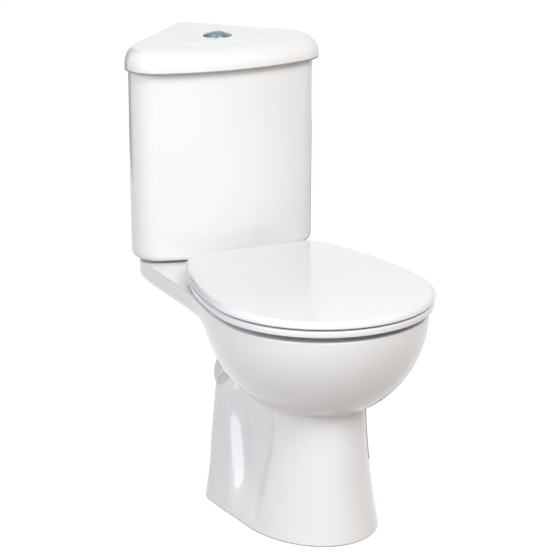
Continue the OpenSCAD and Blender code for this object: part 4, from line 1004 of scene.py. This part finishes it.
def moulded(name, tone, shade, gloss=0.38, grain=0.9):
    """Injection-moulded plastic: satin, with drifts of tone, a fine grain and worn patches."""
    f = Finish(name, ior=1.49)
    drift = f.noise(40, 3.0).clear(0.3, 0.7)
    f.feed("Base Color", f.between(drift, tone, shade))
    worn = f.noise(12, 3.0).clear(0.5, 0.75)
    f.feed("Roughness", gloss - worn * 0.1 + f.noise(grain, 1.0) * 0.06)
    f.feed("Normal", f.bumps(0.02, f.noise(grain, 3.0)))
    return f.material


def threaded(name, tone, shade, pitch):
    """Bright zinc with the ridges of a thread as relief: a sine wave, darker in its roots as
    painted shade.
    """
    f = Finish(name, metallic=1.0)
    turns = f.height() * (2 * math.pi / pitch)
    wave = turns.maths("SINE", turns) * 0.5 + 0.5
    patches = f.noise(6, 3.0).clear(0.35, 0.7)
    plated = f.between(patches, tone, tuple(v * 0.86 for v in tone))
    # The thread's roots are darker as painted shade
    f.feed("Base Color", f.between(wave, shade, plated))
    f.feed("Roughness", 0.34 - wave * 0.1 + patches * 0.12)
    f.feed("Normal", f.bumps(0.35, wave))
    return f.material


def rubber(name, tone, bloom):
    """Matt moulded rubber with a pale bloom in patches and a fine grain."""
    f = Finish(name, ior=1.45)
    patches = f.noise(8, 4.0).clear(0.4, 0.75)
    f.feed("Base Color", f.between(patches, tone, bloom))
    f.feed("Roughness", 0.8 - patches * 0.12)
    f.feed("Normal", f.bumps(0.05, f.noise(0.8, 3.0)))
    return f.material


black_rubber = rubber("black_rubber", (0.028, 0.028, 0.03), (0.055, 0.054, 0.053))
clear_rubber = rubber("buffer_rubber", (0.5, 0.5, 0.49), (0.58, 0.57, 0.55))
white_plastic = moulded("valve_white_plastic", (0.74, 0.74, 0.73), (0.69, 0.69, 0.675))
nut_plastic = moulded("nut_plastic", (0.78, 0.78, 0.77), (0.72, 0.72, 0.70))
blue_plastic = moulded("valve_blue_plastic", (0.05, 0.14, 0.36), (0.065, 0.17, 0.41))
grey_plastic = moulded("float_grey_plastic", (0.27, 0.285, 0.31), (0.23, 0.245, 0.27))
zinc = threaded("zinc_thread", (0.68, 0.69, 0.71), (0.36, 0.36, 0.37), 1.5)
hinge_chrome = chrome("hinge_chrome", 0.02)
pin_steel = chrome("pin_steel", 0.01)
finishes = {
    black_rubber: ["coupling_seal", "cistern_bolt_washers", "cistern_plate_washers",
                   "flush_valve_washer", "flush_seal", "fill_valve_washer", "hinge_washers"],
    clear_rubber: ["seat_buffers", "cover_buffers"],
    white_plastic: ["flush_valve_tower", "overflow_tube", "fill_valve_body", "fill_valve_head",
                    "float_arm", "full_flush_rod", "half_flush_rod", "button_nut"],
    nut_plastic: ["cistern_wing_nuts", "flush_valve_nut", "fill_valve_nut", "hinge_wing_nuts"],
    blue_plastic: ["flush_valve_base", "fill_valve_cap"],
    grey_plastic: ["float_cup"],
    zinc: ["cistern_bolts", "hinge_bolts"],
    hinge_chrome: ["hinge_posts"],
    pin_steel: ["hinge_pins"],
}
for finish, names in finishes.items():
    for name in names:
        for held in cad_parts[name].material_slots:
            held.material = finish

# ---------------------------------------------------------------------------
# Studio. A pale floor and a white surround. A broad soft lamp stands high in front,
# one at the left and one behind, which no reflection shows. Two dark cards, which only
# reflections show, stand for a dim room. The camera has the photograph's angle.
# ---------------------------------------------------------------------------

# In the photograph's pixels: its width, the point straight ahead and the focal length
PHOTO, SIGHT, FOCAL = 560, (269.228, 278.127), 2506.45
SENSOR = 36.0

camera = bpy.data.objects.new("camera", bpy.data.cameras.new("camera"))
bpy.context.scene.collection.objects.link(camera)
turn, rise, away = math.radians(-25.562), math.radians(16.824), 4.3976
back = [math.sin(turn) * math.cos(rise), -math.cos(turn) * math.cos(rise), math.sin(rise)]
camera.location = (np.array([0, 0, RIM / 1000]) + np.array(back) * away).tolist()
camera.rotation_euler = (math.pi / 2 - rise, 0, turn)
camera.data.sensor_width = SENSOR
camera.data.lens = FOCAL / PHOTO * SENSOR
camera.data.shift_x = (PHOTO / 2 - SIGHT[0]) / PHOTO
camera.data.shift_y = (SIGHT[1] - PHOTO / 2) / PHOTO
camera.data.clip_end = 60
bpy.context.scene.camera = camera


def lamp(name, place, aim, size, watts, colour):
    """A soft rectangular lamp at a place, turned to face a point."""
    light = bpy.data.lights.new(name, "AREA")
    light.shape, light.size, light.size_y = "RECTANGLE", *size
    light.energy, light.color = watts, colour
    made = bpy.data.objects.new(name, light)
    bpy.context.scene.collection.objects.link(made)
    made.location = place
    gaze = np.subtract(aim, place)
    flat = math.hypot(gaze[0], gaze[1])
    made.rotation_euler = (math.atan2(flat, -gaze[2]), 0, math.atan2(-gaze[0], gaze[1]))
    return made


lamp("key_lamp", (0.1, -2.75, 3.1), (0, 0.1, 0.6), (2.4, 1.6), 98, (1.0, 0.985, 0.965))
lamp("left_lamp", (-2.6, -1.2, 1.6), (0, 0, 0.25), (2.0, 2.0), 46, (0.88, 0.94, 1.0))
back_lamp = lamp("back_lamp", (0.9, 3.0, 2.6), (0, 0.2, 0.4), (2.2, 1.4), 30, (0.97, 0.98, 1.0))
back_lamp.visible_glossy = False


def board(name, corners, material):
    """A flat board of the studio's, with four corners in metres."""
    mesh = bpy.data.meshes.new(name)
    mesh.from_pydata(corners, [], [(0, 1, 2, 3)])
    mesh.materials.append(material)
    made = bpy.data.objects.new(name, mesh)
    bpy.context.scene.collection.objects.link(made)
    return made


felt = Finish("dark_felt", base_color=(0.05, 0.06, 0.075, 1), roughness=1.0).material
for name, corners in (
        ("left_flag", [(0.1, 2.6, 0.02), (-1.2, 1.9, 0.02), (-1.2, 1.9, 3.2), (0.1, 2.6, 3.2)]),
        ("floor_flag", [(0.31, 0, 0.004), (2.19, 2.03, 0.004), (0.21, 2.97, 0.004),
                        (0.09, 0.1, 0.004)])):
    card = board(name, corners, felt)
    card.visible_camera = card.visible_shadow = False


def looked_at(nodes):
    """1 where the camera looks, also by way of a mirror or through glass, and 0 for light."""
    seen, glossy, through = (nodes.node("ShaderNodeLightPath", {}, output=f"Is {ray} Ray")
                             for ray in ("Camera", "Glossy", "Transmission"))
    for ray in (glossy, through):
        seen = seen.maths("MAXIMUM", seen, ray)
    return seen


world = bpy.data.worlds.new("surround")
bpy.context.scene.world = world
sky = Nodes(world)
sky.tree.nodes.clear()
shown = sky.node("ShaderNodeBackground", {"Color": (1, 1, 1, 1), "Strength": 1.0})
dim = sky.node("ShaderNodeBackground", {"Color": (0.97, 0.98, 1, 1), "Strength": 0.3})
choice = sky.node("ShaderNodeMixShader", {0: looked_at(sky), 1: dim, 2: shown})
sky.node("ShaderNodeOutputWorld", {0: choice})

paper = bpy.data.materials.new("floor_paper")
pulp = Nodes(paper)
pulp.tree.nodes.clear()
matt = pulp.node("ShaderNodeBsdfDiffuse", {"Color": (0.45, 0.395, 0.37, 1)})
glow = pulp.node("ShaderNodeEmission", {"Color": (1, 1, 1, 1), "Strength": 1.12})
choice = pulp.node("ShaderNodeMixShader", {0: looked_at(pulp) * 0.9, 1: matt, 2: glow})
pulp.node("ShaderNodeOutputMaterial", {0: choice})
board("floor", [(-9, -9, 0), (9, -9, 0), (9, 9, 0), (-9, 9, 0)], paper)

bpy.context.scene.view_settings.view_transform = "Standard"
